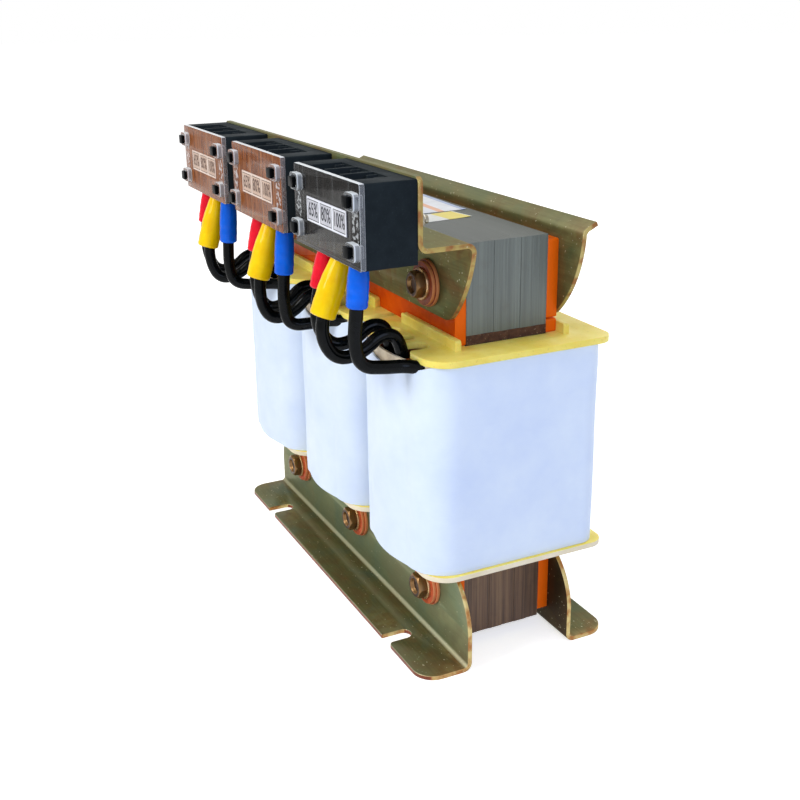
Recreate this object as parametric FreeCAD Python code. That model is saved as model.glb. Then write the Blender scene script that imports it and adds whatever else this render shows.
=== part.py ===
import FreeCAD, Part
import math
import os

# Three-phase starting reactor: laminated three-limb core, three bobbin coils,
# folded sheet clamps and feet, three barrier terminal blocks with clear covers.
# Millimetres. X runs along the row of coils, Y across the stack with the
# terminal blocks on the -Y side, Z up, floor at Z = 0 under the feet.

V = FreeCAD.Vector

# Core
STRIP = 48.0                # width of a limb and of a yoke
LIMB_PITCH = 96.0           # limb centre to limb centre
STACK = 48.0                # thickness of the stack
CORE_LENGTH = 2 * LIMB_PITCH + STRIP
CORE_LIFT = 8.6             # underside of the lower yoke above the floor
WINDOW = 122.0              # height of the window between the yokes
AIR_GAP = 4.5               # thickness of the gap boards
PACKETS = 6                 # packets of strips in the stack
PACKET_STEP = 0.25          # alternate packets stand back by this much

# Folded sheet parts
SHEET = 2.5
BEND = 2.5                  # inner bend radius
INSULATION = 6.5            # thickness of the orange strips
STRIP_SHORT = 2.9           # strips end this far below the top of the upper yoke
FOOT_STRIP = (3.4, 3.6)     # set-back of the foot strips from the edges of the lower yoke
FOOT_LENGTH = 281.0
FOOT_SHORT = 3.1            # feet end this far below the top of the lower yoke
FRONT_FOOT_REACH = 60.6     # floor flange edge from the middle of the core
REAR_FOOT_REACH = 58.4
FOOT_CORNER = 12.0
SLOT_WIDTH = 9.0
SLOT_X = 94.0               # slot centres from the middle
SLOT_DEPTH = 16.0
CLAMP_LENGTH = 283.4
CLAMP_DROP = 39.4           # lower edge of the front clamp below the yoke top
REAR_CLAMP_DROP = 45.1
SHELF_RISE = 2.6            # underside of the shelf above the yoke top
SHELF_REACH = 28.8          # front face of the rail ahead of the clamping plate
RAIL_HEIGHT = 36.2          # rail above the underside of the shelf
LIP_START = 3.1             # lip of the rear clamp above the yoke top
LIP = (6.6, 3.2)            # reach and rise of the lip
FRONT_SWEEP = ((0.4, 39.3), (7.6, 20.1), (20.4, 2.9))  # swept ends: from end, above edge
REAR_SWEEP = ((0.6, 46.0), (8.3, 20.8), (23.0, 2.2))
FOOT_SWEEP = ((0.0, 36.5), (8.6, 10.3), (19.0, 1.9))   # from end, below the upper edge
SWEEP_RUN = (28.0, 31.0, 26.0)  # straight edges start this far from the ends

# Bobbins and coils
LIMB_CLEAR = 0.5
TUBE_WALL = 2.0
LOW_FLANGE = 3.0
TOP_FLANGE = 3.5
FLANGE_HALF = 45.0
FLANGE_FRONT = -54.0
FLANGE_REAR = 54.0
BOBBIN_SHORT = 0.5          # bobbin is this much shorter than the window
RIDGE_HALF = 31.0
RIDGE_RISE = 5.6
RIDGE_WALL = 3.4
LEAD_SLOTS = ((-20.0, 9.0), (-4.0, 9.0), (12.0, 12.0))  # middle and width of each
LEAD_SLOT_END = -40.0
COIL_HALF = 42.9
COIL_REAR = 49.5
COIL_FRONT = -60.8          # crown of the bulged front
COIL_SHOULDER = -57.6
WRAP = 1.5
PAPER = 1.2
LAYER_CLEAR = 0.3
LEAD_DIVE = 5.6             # leads meet the turns this far below the top flange

# Clamp fasteners, M8 with insulating parts
BOLT = 8.0
HEAD_AF = 13.0
HEAD_HEIGHT = 4.7
HEAD_DISH = (9.4, 1.9)      # dished top of the bolt heads
NUT_HEIGHT = 6.5
FLAT_WASHER = (17.0, 1.6)
SPRING_WASHER = (14.0, 2.0)
INSULATING_WASHERS = ((25.0, 1.9), (23.2, 1.9))  # inner one wider than the outer
SLEEVE_OUT = 11.0
SLEEVE_IN = 8.6

# Terminal blocks
BLOCK_WIDTH = 81.0
BLOCK_MARGIN = 1.0          # outer blocks stand this far in from the ends of the rail
BLOCK_X = 0.2               # centre of the middle block
BLOCK_HEIGHT = 40.2
BLOCK_BELOW = 1.1           # blocks stand this far below the top of the rail
BLOCK_DEPTH = 29.1          # face of the covers ahead of the rail
COVER = 2.6
BLOCK_END = 12.15           # end wall of a block outside its three poles
BARRIER = 2.5
BASE_DEPTH = 8.2
PEDESTAL = 15.2             # face of the pedestals ahead of the rail
BAR = (11.0, 26.0, 1.6)
SCREW_SPREAD = 8.5
BLOCK_SCREW = 4.0
BLOCK_NUT = (7.0, 3.2)
MARKING = (48.6, 12.2, 0.4)
TAB_RISE = 2.8              # looped tabs of the cover stand this far forward
TAB_INSET = 8.5             # middle of a tab from the upper or lower edge
SCREW_INSET = 5.95          # fixing screws and tabs from the ends of a block
TAB = (10.4, 10.6, 1.5)     # width, height and wall of the looped tabs
CATCH_HEAD = (6.0, 6.6, 1.7)  # head of a catch, lapping the loop on the inner side

# Leads
LEAD = 7.0
LUG_PLATE = 0.9
BARREL = (5.6, 5.5)         # diameter and length of the crimped barrel
BOOT_CLEAR = 0.45
BOOT_LAP = 3.0              # boots reach this far up over the barrel
LUG_DROP = 10.6             # start of a lead below its screw
LUG_STAND = 5.0             # start of a lead ahead of the pedestal face

# Derived levels
YOKE_TOP = CORE_LIFT + STRIP
LIMB_TOP = YOKE_TOP + WINDOW
UPPER_Z = LIMB_TOP + AIR_GAP
UPPER_TOP = UPPER_Z + STRIP
STRIP_TOP = UPPER_TOP - STRIP_SHORT
FOOT_TOP = YOKE_TOP - FOOT_SHORT
CLAMP_LOW = UPPER_TOP - CLAMP_DROP
REAR_CLAMP_LOW = UPPER_TOP - REAR_CLAMP_DROP
SHELF_Z = UPPER_TOP + SHELF_RISE
RAIL_TOP = SHELF_Z + RAIL_HEIGHT
LOW_BOLT_Z = CORE_LIFT + STRIP / 2
HIGH_BOLT_Z = UPPER_Z + STRIP / 2
STRIP_FACE = STACK / 2 + INSULATION
PLATE_FACE = STRIP_FACE + SHEET
RAIL_Y = -PLATE_FACE - SHELF_REACH
FLANGE_TOP = LIMB_TOP - BOBBIN_SHORT
FLANGE_UNDER = FLANGE_TOP - TOP_FLANGE
COIL_LOW = YOKE_TOP + LOW_FLANGE
LEAD_SEAT = FLANGE_UNDER - LEAD_DIVE
TUBE_HALF = STRIP / 2 + LIMB_CLEAR + TUBE_WALL
LIMBS = (-LIMB_PITCH, 0.0, LIMB_PITCH)
POLE_PITCH = (BLOCK_WIDTH - 2 * BLOCK_END) / 3
POLE_WIDTH = POLE_PITCH - BARRIER
BLOCK_PITCH = (CLAMP_LENGTH - BLOCK_WIDTH) / 2 - BLOCK_MARGIN
BLOCKS = (BLOCK_X - BLOCK_PITCH, BLOCK_X, BLOCK_X + BLOCK_PITCH)
BLOCK_Z = RAIL_TOP - BLOCK_BELOW - BLOCK_HEIGHT
BLOCK_MIDDLE = BLOCK_Z + BLOCK_HEIGHT / 2
COVER_FACE = RAIL_Y - BLOCK_DEPTH
BODY_FACE = COVER_FACE + COVER
PEDESTAL_FACE = RAIL_Y - PEDESTAL


def at(plane, level, a, b):
    """A point of a sketch plane: xy, xz or yz, at a level of the third axis."""
    if plane == "xy":
        return V(a, b, level)
    if plane == "xz":
        return V(a, level, b)
    return V(level, a, b)


def rounded_edges(points, radii, closed):
    """Edges of a polyline with an arc of the given radius at each corner."""
    count = len(points)
    starts, ends, middles = [], [], []
    for i in range(count):
        here = points[i]
        radius = radii[i]
        if radius <= 0 or (not closed and i in (0, count - 1)):
            starts.append(here)
            ends.append(here)
            middles.append(None)
            continue
        back = points[i - 1] - here
        ahead = points[(i + 1) % count] - here
        back.normalize()
        ahead.normalize()
        half = back.getAngle(ahead) / 2
        run = radius / math.tan(half)
        bisector = back + ahead
        bisector.normalize()
        centre = here + bisector * (radius / math.sin(half))
        starts.append(here + back * run)
        ends.append(here + ahead * run)
        middles.append(centre - bisector * radius)
    edges = []
    last = count if closed else count - 1
    for i in range(count):
        if middles[i] is not None:
            edges.append(Part.Arc(starts[i], middles[i], ends[i]).toShape())
        if i < last:
            target = starts[(i + 1) % count]
            if ends[i].distanceToPoint(target) > 1e-6:
                edges.append(Part.makeLine(ends[i], target))
    return edges


def plate(plane, level, corners, depth):
    """A solid from a closed outline of (a, b, radius) corners, grown by depth."""
    points = [at(plane, level, c[0], c[1]) for c in corners]
    radii = [c[2] if len(c) > 2 else 0.0 for c in corners]
    wire = Part.Wire(rounded_edges(points, radii, True))
    direction = {"xy": V(0, 0, depth), "xz": V(0, depth, 0), "yz": V(depth, 0, 0)}[plane]
    return Part.Face(wire).extrude(direction)


def box(x0, x1, y0, y1, z0, z1):
    """A box between the given limits."""
    low = V(min(x0, x1), min(y0, y1), min(z0, z1))
    return Part.makeBox(abs(x1 - x0), abs(y1 - y0), abs(z1 - z0), low)


def rod(radius, start, end):
    """A cylinder between two points."""
    way = end - start
    return Part.makeCylinder(radius, way.Length, start, way)


def tube(outer, inner, start, end):
    """A hollow cylinder between two points."""
    return rod(outer, start, end).cut(rod(inner, start, end))


def mirrored_y(shape):
    """The same shape on the other side of the stack, turned half round."""
    copy = shape.copy()
    copy.rotate(V(0, 0, 0), V(0, 0, 1), 180)
    return copy


def packets(make):
    """Stacks a profile in packets whose ends stand alternately in and out."""
    depth = STACK / PACKETS
    whole = None
    for i in range(PACKETS):
        piece = make(-STACK / 2 + i * depth, depth, PACKET_STEP * (i % 2))
        whole = piece if whole is None else whole.fuse(piece)
    return whole.removeSplitter()


def bolt_holes(shape, level, radius):
    """Bores the three clamp bolt holes of one yoke level."""
    for x in LIMBS:
        shape = shape.cut(rod(radius, V(x, -2 * STACK, level), V(x, 2 * STACK, level)))
    return shape


# Core

def e_core():
    """Lower yoke with its three limbs."""
    def profile(y, depth, step):
        half = CORE_LENGTH / 2 - step
        inner = LIMB_PITCH - STRIP / 2
        mid = STRIP / 2
        corners = [(-half, CORE_LIFT), (half, CORE_LIFT), (half, LIMB_TOP), (inner, LIMB_TOP),
                   (inner, YOKE_TOP), (mid, YOKE_TOP), (mid, LIMB_TOP), (-mid, LIMB_TOP),
                   (-mid, YOKE_TOP), (-inner, YOKE_TOP), (-inner, LIMB_TOP), (-half, LIMB_TOP)]
        return plate("xz", y, corners, depth)
    return bolt_holes(packets(profile), LOW_BOLT_Z, SLEEVE_OUT / 2 + 0.3)


def upper_yoke():
    """Bar of strips that closes the core above the gap boards."""
    def profile(y, depth, step):
        half = CORE_LENGTH / 2 - step
        return box(-half, half, y, y + depth, UPPER_Z, UPPER_TOP)
    return bolt_holes(packets(profile), HIGH_BOLT_Z, SLEEVE_OUT / 2 + 0.3)


def gap_boards():
    """One board on each limb end sets the air gap."""
    half = STRIP / 2
    return [box(x - half, x + half, -STACK / 2, STACK / 2, LIMB_TOP, UPPER_Z) for x in LIMBS]


# Folded sheet

def folded(path, left):
    """Sheet along a path in the YZ plane, the sheet lying left or right of it."""
    side = 1.0 if left else -1.0
    points = [V(0, p[0], p[1]) for p in path]
    normals = []
    for a, b in zip(points, points[1:]):
        way = b - a
        way.normalize()
        normals.append(V(0, -way.z, way.y) * side)
    other, near_radii, far_radii = [], [], []
    for i, point in enumerate(points):
        if i == 0 or i == len(points) - 1:
            normal = normals[0] if i == 0 else normals[-1]
            other.append(point + normal * SHEET)
            near_radii.append(0.0)
            far_radii.append(0.0)
            continue
        first, second = normals[i - 1], normals[i]
        mitre = (first + second) * (SHEET / (1 + first.dot(second)))
        other.append(point + mitre)
        ahead = points[i + 1] - point
        opens = ahead.dot(first) < 0
        near_radii.append(BEND + SHEET if not opens else BEND)
        far_radii.append(BEND if not opens else BEND + SHEET)
    near = rounded_edges(points, near_radii, False)
    far = rounded_edges(list(reversed(other)), list(reversed(far_radii)), False)
    edges = near + [Part.makeLine(points[-1], other[-1])] + far
    edges.append(Part.makeLine(other[0], points[0]))
    return Part.Face(Part.Wire(Part.__sortEdges__(edges)))


def pull(face, length):
    """A folded profile pulled along X, centred."""
    face.translate(V(-length / 2, 0, 0))
    return face.extrude(V(length, 0, 0))


def end_mask(length, far, tangent, middle, tip, foot, y0, y1):
    """Outline seen from the front: straight on the far side, ends swept in.

    far is the level of the straight edge, foot the level of the other edge;
    the swept end passes tangent, middle and tip, each (from end, level)."""
    half = length / 2
    right = [V(half - p[0], y0, p[1]) for p in (tangent, middle, tip)]
    land = V(half - foot[0], y0, foot[1])
    ease = V((right[2].x + land.x) / 2 + 0.6, y0, (right[2].z * 0.3 + land.z * 0.7))
    edges = [Part.makeLine(V(half, y0, far), right[0]),
             Part.Arc(right[0], right[1], right[2]).toShape(),
             Part.Arc(right[2], ease, land).toShape()]
    flipped = []
    for edge in edges:
        copy = edge.mirror(V(0, 0, 0), V(1, 0, 0))
        flipped.append(copy)
    edges.append(Part.makeLine(land, V(-land.x, y0, land.z)))
    edges.append(Part.makeLine(V(half, y0, far), V(-half, y0, far)))
    wire = Part.Wire(Part.__sortEdges__(edges + flipped))
    return Part.Face(wire).extrude(V(0, y1 - y0, 0))


def sleeve_holes(shape, level):
    """Holes for the insulated clamp bolts in a sheet part."""
    return bolt_holes(shape, level, SLEEVE_OUT / 2 + 0.4)


def foot(reach):
    """Angle with open slots in its floor flange and swept upright ends."""
    inner = -STRIP_FACE
    shape = pull(folded([(-reach, 0), (inner, 0), (inner, FOOT_TOP)], True), FOOT_LENGTH)
    half = FOOT_LENGTH / 2
    end = -reach + SLOT_DEPTH
    wide = SLOT_WIDTH / 2
    bend = wide - 0.01
    corners = [(-half, -20, 0), (-half, -reach, FOOT_CORNER)]
    for x in (-SLOT_X, SLOT_X):
        corners += [(x - wide, -reach, 0.4), (x - wide, end, bend)]
        corners += [(x + wide, end, bend), (x + wide, -reach, 3.0)]
    corners += [(half, -reach, FOOT_CORNER), (half, -20, 0)]
    shape = shape.common(plate("xy", -1, corners, FOOT_TOP + 2))
    sweep = [(run, FOOT_TOP - drop) for run, drop in FOOT_SWEEP]
    mask = end_mask(FOOT_LENGTH, -1, *sweep, (SWEEP_RUN[2], FOOT_TOP), -reach - 10, 0)
    return sleeve_holes(shape.common(mask), LOW_BOLT_Z)


def front_clamp():
    """Sheet folded twice: clamping plate, shelf and the rail of the blocks."""
    path = [(-PLATE_FACE, CLAMP_LOW), (-PLATE_FACE, SHELF_Z), (RAIL_Y, SHELF_Z),
            (RAIL_Y, RAIL_TOP)]
    shape = pull(folded(path, False), CLAMP_LENGTH)
    half = CLAMP_LENGTH / 2
    below = CLAMP_LOW - 10
    top = [(-half, below, 0), (half, below, 0), (half, RAIL_TOP, 4.0), (-half, RAIL_TOP, 4.0)]
    shape = shape.common(plate("xz", RAIL_Y - 10, top, 10 - RAIL_Y))
    sweep = [(run, CLAMP_LOW + rise) for run, rise in FRONT_SWEEP]
    mask = end_mask(CLAMP_LENGTH, RAIL_TOP + 10, *sweep, (SWEEP_RUN[0], CLAMP_LOW),
                    RAIL_Y - 10, 0)
    shape = sleeve_holes(shape.common(mask), HIGH_BOLT_Z)
    for x in block_screw_places():
        z = BLOCK_MIDDLE
        shape = shape.cut(rod(BLOCK_SCREW / 2 + 0.3, V(x, RAIL_Y - 5, z),
                              V(x, RAIL_Y + SHEET + 5, z)))
    return shape


def rear_clamp():
    """Sheet with a short lip folded outwards along its top."""
    start = UPPER_TOP + LIP_START
    path = [(PLATE_FACE, REAR_CLAMP_LOW), (PLATE_FACE, start),
            (PLATE_FACE + LIP[0], start + LIP[1])]
    shape = pull(folded(path, True), CLAMP_LENGTH)
    sweep = [(run, REAR_CLAMP_LOW + rise) for run, rise in REAR_SWEEP]
    mask = end_mask(CLAMP_LENGTH, start + 40, *sweep, (SWEEP_RUN[1], REAR_CLAMP_LOW),
                    0, PLATE_FACE + 50)
    return sleeve_holes(shape.common(mask), HIGH_BOLT_Z)


# Insulation strips

def strip(y, z0, z1, level=None):
    """A strip along one side of the core from y inwards, bored at a bolt level."""
    half = CORE_LENGTH / 2
    corners = [(-half, z0, 1.2), (half, z0, 1.2), (half, z1, 1.2), (-half, z1, 1.2)]
    shape = plate("xz", y, corners, INSULATION)
    return shape if level is None else bolt_holes(shape, level, SLEEVE_OUT / 2 + 0.4)


# Bobbins and coils

def flange_corners(x, front, rear):
    """Plan of a bobbin flange, rounder at the front."""
    half = FLANGE_HALF
    return [(x - half, front, 15.0), (x + half, front, 15.0),
            (x + half, rear, 9.0), (x - half, rear, 9.0)]


def slotted_corners(x):
    """Plan of the top flange with the three lead slots and their fingers."""
    half = FLANGE_HALF
    corners = [(x - half, FLANGE_FRONT, 15.0)]
    for middle, width in LEAD_SLOTS:
        wide = width / 2
        bend = wide - 0.01
        mouth = 2.6
        corners += [(x + middle - wide, FLANGE_FRONT, mouth)]
        corners += [(x + middle - wide, LEAD_SLOT_END, bend)]
        corners += [(x + middle + wide, LEAD_SLOT_END, bend)]
        corners += [(x + middle + wide, FLANGE_FRONT, mouth)]
    corners += [(x + half, FLANGE_FRONT, 15.0), (x + half, FLANGE_REAR, 9.0)]
    corners += [(x - half, FLANGE_REAR, 9.0)]
    return corners


def ridge(x, y0, y1):
    """Upstanding wall on the top flange, its upper ends eased."""
    rise = FLANGE_TOP + RIDGE_RISE
    corners = [(x - RIDGE_HALF, FLANGE_TOP - 0.5, 0), (x + RIDGE_HALF, FLANGE_TOP - 0.5, 0),
               (x + RIDGE_HALF, rise, 1.6), (x - RIDGE_HALF, rise, 1.6)]
    return plate("xz", y0, corners, y1 - y0)


def bobbin(x):
    """Moulded bobbin: tube, two flanges, ridges and slots for the leads."""
    hole = STRIP / 2 + LIMB_CLEAR
    deep = STACK / 2 + LIMB_CLEAR
    wall = TUBE_WALL
    shape = box(x - hole - wall, x + hole + wall, -deep - wall, deep + wall, YOKE_TOP, FLANGE_TOP)
    shape = shape.fuse(plate("xy", YOKE_TOP, flange_corners(x, FLANGE_FRONT, FLANGE_REAR), LOW_FLANGE))
    shape = shape.fuse(plate("xy", FLANGE_UNDER, slotted_corners(x), TOP_FLANGE))
    face = STRIP_FACE + 0.1
    for y0, y1 in ((-face - RIDGE_WALL, -face), (face, face + RIDGE_WALL)):
        shape = shape.fuse(ridge(x, y0, y1))
    shape = shape.cut(box(x - hole, x + hole, -deep, deep, YOKE_TOP - 1, FLANGE_TOP + 1))
    return shape.removeSplitter()


def coil_wire(x, inset):
    """Outline of a coil layer: bulged front, tight rear corners."""
    half = COIL_HALF - inset
    rear = COIL_REAR - inset
    crown = COIL_FRONT + inset
    shoulder = COIL_SHOULDER + inset
    front = 21.0 - inset
    back = 11.0 - inset
    low = COIL_LOW
    turn = math.sqrt(0.5)
    a = V(x - half + front * 0.92, shoulder, low)
    b = V(x + half - front * 0.92, shoulder, low)
    c = V(x + half, shoulder + front, low)
    d = V(x + half, rear - back, low)
    e = V(x + half - back, rear, low)
    f = V(x - half + back, rear, low)
    g = V(x - half, rear - back, low)
    h = V(x - half, shoulder + front, low)
    pull_in = front * (1 - turn)
    corner_b = V(x + half - pull_in * 0.9, shoulder + pull_in * 0.98, low)
    corner_a = V(x - half + pull_in * 0.9, shoulder + pull_in * 0.98, low)
    easy = back * (1 - turn)
    edges = [Part.Arc(a, V(x, crown, low), b).toShape(),
             Part.Arc(b, corner_b, c).toShape(),
             Part.makeLine(c, d),
             Part.Arc(d, V(x + half - easy, rear - easy, low), e).toShape(),
             Part.makeLine(e, f),
             Part.Arc(f, V(x - half + easy, rear - easy, low), g).toShape(),
             Part.makeLine(g, h),
             Part.Arc(h, corner_a, a).toShape()]
    return Part.Wire(edges)


def coil_layer(x, outer, inner, top):
    """Ring between two insets of the coil outline, standing on the flange."""
    height = top - COIL_LOW
    ring = Part.Face(coil_wire(x, outer)).extrude(V(0, 0, height))
    core = Part.Face(coil_wire(x, inner)).extrude(V(0, 0, height))
    return ring.cut(core)


def outer_wrap(x):
    """White outer wrap, its front edge dipped where the leads come out."""
    top = FLANGE_UNDER - LAYER_CLEAR
    shape = coil_layer(x, 0.0, WRAP, top)
    dip = [(x - 38, top + 2, 0), (x - 26, top - 5.0, 14), (x + 20, top - 6.5, 14),
           (x + 37, top + 2, 0)]
    return shape.cut(plate("xz", COIL_FRONT - 5, dip, 24))


def paper(x):
    """Cream paper under the wrap."""
    inner = WRAP + LAYER_CLEAR
    return coil_layer(x, inner, inner + PAPER, FLANGE_UNDER - LAYER_CLEAR)


def winding(x):
    """Wound conductor block between the bobbin tube and the paper."""
    inset = WRAP + PAPER + 2 * LAYER_CLEAR
    height = FLANGE_UNDER - LAYER_CLEAR - COIL_LOW
    shape = Part.Face(coil_wire(x, inset)).extrude(V(0, 0, height))
    reach = TUBE_HALF
    shape = shape.cut(box(x - reach, x + reach, -reach, reach, COIL_LOW - 1, FLANGE_TOP))
    pocket = box(x - 12, x + 18, COIL_FRONT, -47, LEAD_SEAT, FLANGE_TOP)
    return shape.cut(pocket)


# Clamp fasteners

def hexagon(af, x, y, z, length):
    """A hexagonal prism along Y."""
    radius = af / math.sqrt(3)
    points = [V(x + radius * math.cos(math.radians(60 * i)), y,
                z + radius * math.sin(math.radians(60 * i))) for i in range(7)]
    shape = Part.Face(Part.makePolygon(points)).extrude(V(0, length, 0))
    return shape


def chamfered_hexagon(af, x, y, z, length, outward):
    """Hexagon with the turned corners of a bolt head or nut."""
    prism = hexagon(af, x, y, z, length)
    outer = af / math.sqrt(3) + 0.05
    tip = y if outward < 0 else y + length
    root = y + length if outward < 0 else y
    drop = 1.3
    near = V(x, root, z)
    way = V(0, outward, 0)
    straight = Part.makeCylinder(outer, length - drop, near, way)
    cone = Part.makeCone(outer, af / 2 - 0.4, drop, V(x, tip - outward * drop, z), way)
    return prism.common(straight.fuse(cone))


def clamp_places():
    """Bolt axes: three low, three high."""
    return [(x, z) for z in (LOW_BOLT_Z, HIGH_BOLT_Z) for x in LIMBS]


def clamp_fasteners():
    """Bolts, nuts, washers and sleeves of the six clamp bolts."""
    group = {"clamp_bolts": [], "clamp_nuts": [], "flat_washers": [], "spring_washers": [],
             "insulating_washers": [], "insulating_sleeves": []}
    for x, z in clamp_places():
        def stack(node, level, size, way):
            """One washer along Y from a level; returns the level reached."""
            outer, thick = size
            end = level + way * thick
            bore = (BOLT + 0.8) / 2
            group[node].append(tube(outer / 2, bore, V(x, level, z), V(x, end, z)))
            return end

        group["insulating_sleeves"].append(
            tube(SLEEVE_OUT / 2, SLEEVE_IN / 2, V(x, -PLATE_FACE, z), V(x, PLATE_FACE, z)))
        front = -PLATE_FACE
        rear = PLATE_FACE
        for size in INSULATING_WASHERS:
            front = stack("insulating_washers", front, size, -1)
            rear = stack("insulating_washers", rear, size, 1)
        front = stack("flat_washers", front, FLAT_WASHER, -1)
        rear = stack("flat_washers", rear, FLAT_WASHER, 1)
        rear = stack("spring_washers", rear, SPRING_WASHER, 1)
        face = front - HEAD_HEIGHT
        head = chamfered_hexagon(HEAD_AF, x, face, z, HEAD_HEIGHT, -1)
        dish = Part.makeCone(HEAD_DISH[0] / 2, HEAD_DISH[0] / 2 - 1.0, HEAD_DISH[1],
                             V(x, face, z), V(0, 1, 0))
        head = head.cut(dish)
        tail = rear + NUT_HEIGHT + 3.0
        shank = rod(BOLT / 2, V(x, front, z), V(x, tail, z))
        group["clamp_bolts"].append(head.fuse(shank))
        nut = chamfered_hexagon(HEAD_AF, x, rear, z, NUT_HEIGHT, 1)
        bore = rod(BOLT / 2 + 0.3, V(x, rear - 1, z), V(x, tail + 1, z))
        group["clamp_nuts"].append(nut.cut(bore))
    return group


# Terminal blocks

def poles(x):
    """Pole centres of the block at x: far, middle, near."""
    return (x - POLE_PITCH, x, x + POLE_PITCH)


def block_screw_places():
    """X of the two fixing screws of each block."""
    reach = BLOCK_WIDTH / 2 - SCREW_INSET
    return [x + side * reach for x in BLOCKS for side in (-1, 1)]


def block_body(x):
    """Black moulded body: base, end walls, barriers, pedestals."""
    half = BLOCK_WIDTH / 2
    z0, z1 = BLOCK_Z, BLOCK_Z + BLOCK_HEIGHT
    middle = BLOCK_MIDDLE
    outline = [(x - half, z0, 0.8), (x + half, z0, 0.8), (x + half, z1, 0.8), (x - half, z1, 0.8)]
    shape = plate("xz", BODY_FACE, outline, RAIL_Y - BODY_FACE)
    for pole in poles(x):
        wide = POLE_WIDTH / 2
        pocket = box(pole - wide, pole + wide, BODY_FACE - 1, RAIL_Y - BASE_DEPTH, z0 - 1, z1 + 1)
        shape = shape.cut(pocket)
        seat = BAR[0] / 2 + 1.2
        high = BAR[1] / 2 + 1.0
        edge = [(pole - seat, middle - high, 1.0), (pole + seat, middle - high, 1.0),
                (pole + seat, middle + high, 1.0), (pole - seat, middle + high, 1.0)]
        root = RAIL_Y - BASE_DEPTH + 0.5
        shape = shape.fuse(plate("xz", PEDESTAL_FACE, edge, root - PEDESTAL_FACE))
        for way in (-1, 1):
            fin = pole + way * 4.1
            shape = shape.fuse(box(fin - 0.8, fin + 0.8, RAIL_Y - BASE_DEPTH - 5.5,
                                   RAIL_Y - BASE_DEPTH + 0.5, middle + high - 0.5, z1 - 0.6))
        for way in (-1, 1):
            z = middle + way * SCREW_SPREAD
            shape = shape.cut(rod(2.3, V(pole, PEDESTAL_FACE - 1, z),
                                  V(pole, PEDESTAL_FACE + 10, z)))
    for barrier in (-POLE_PITCH / 2, POLE_PITCH / 2):
        shape = shape.cut(box(x + barrier - 2, x + barrier + 2, BODY_FACE - 1, BODY_FACE + 1.8,
                              z0 - 1, z1 + 1))
    reach = BLOCK_WIDTH / 2 - SCREW_INSET
    for way in (-1, 1):
        across = x + way * reach
        shape = shape.cut(rod(BLOCK_SCREW / 2 + 0.3, V(across, BODY_FACE - 1, middle),
                              V(across, RAIL_Y + 1, middle)))
        shape = shape.cut(rod(4.2, V(across, BODY_FACE - 1, middle),
                              V(across, RAIL_Y - BASE_DEPTH, middle)))
        for level in (-1, 1):
            z = middle + level * (BLOCK_HEIGHT / 2 - TAB_INSET)
            shape = shape.cut(box(across - 3.4, across + 3.4, BODY_FACE - 1, BODY_FACE + 6.0,
                                  z - 3.6, z + 3.6))
    return shape.removeSplitter()


def block_cover(x):
    """Clear snap-on plate with four looped tabs standing proud."""
    half = BLOCK_WIDTH / 2
    z0, z1 = BLOCK_Z, BLOCK_Z + BLOCK_HEIGHT
    outline = [(x - half, z0, 1.2), (x + half, z0, 1.2), (x + half, z1, 1.2), (x - half, z1, 1.2)]
    shape = plate("xz", COVER_FACE, outline, COVER)
    middle = BLOCK_MIDDLE
    reach = BLOCK_WIDTH / 2 - SCREW_INSET
    for way in (-1, 1):
        across = x + way * reach
        for level in (-1, 1):
            z = middle + level * (BLOCK_HEIGHT / 2 - TAB_INSET)
            wide, high = TAB[0] / 2, TAB[1] / 2
            rim = [(across - wide, z - high, 2.4), (across + wide, z - high, 2.4),
                   (across + wide, z + high, 2.4), (across - wide, z + high, 2.4)]
            shape = shape.fuse(plate("xz", COVER_FACE - TAB_RISE, rim, TAB_RISE + 0.2))
            wide, high = wide - TAB[2], high - TAB[2]
            hole = [(across - wide, z - high, 1.2), (across + wide, z - high, 1.2),
                    (across + wide, z + high, 1.2), (across - wide, z + high, 1.2)]
            shape = shape.cut(plate("xz", COVER_FACE - TAB_RISE - 1, hole, COVER + TAB_RISE + 2))
    return shape.removeSplitter()


def catches():
    """Black catches of the body that pass through the looped tabs and hook inwards."""
    made = []
    reach = BLOCK_WIDTH / 2 - SCREW_INSET
    middle = BLOCK_MIDDLE
    for x in BLOCKS:
        for way in (-1, 1):
            for level in (-1, 1):
                z = middle + level * (BLOCK_HEIGHT / 2 - TAB_INSET)
                across = x + way * reach
                tip = COVER_FACE - TAB_RISE - 0.3
                wide, high, thick = CATCH_HEAD
                stem = box(across - 2.2, across + 2.2, tip, BODY_FACE + 6.0, z - 2.4, z + 2.4)
                edge = [(across + way * 2.2, z - high / 2, 0.8), (across + way * 2.2, z + high / 2, 0.8),
                        (across + way * (2.2 - wide), z + high / 2, 0.8),
                        (across + way * (2.2 - wide), z - high / 2, 0.8)]
                made.append(stem.fuse(plate("xz", tip - thick, edge, thick)).removeSplitter())
    return made


def contact_bars():
    """Bar on each pedestal with two threaded holes."""
    made = []
    middle = BLOCK_MIDDLE
    for x in BLOCKS:
        for pole in poles(x):
            wide, high, thick = BAR
            edge = [(pole - wide / 2, middle - high / 2, 1.0),
                    (pole + wide / 2, middle - high / 2, 1.0),
                    (pole + wide / 2, middle + high / 2, 1.0),
                    (pole - wide / 2, middle + high / 2, 1.0)]
            bar = plate("xz", PEDESTAL_FACE - thick, edge, thick)
            for way in (-1, 1):
                z = middle + way * SCREW_SPREAD
                bar = bar.cut(rod(2.3, V(pole, PEDESTAL_FACE - 5, z), V(pole, PEDESTAL_FACE, z)))
            made.append(bar)
    return made


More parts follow.
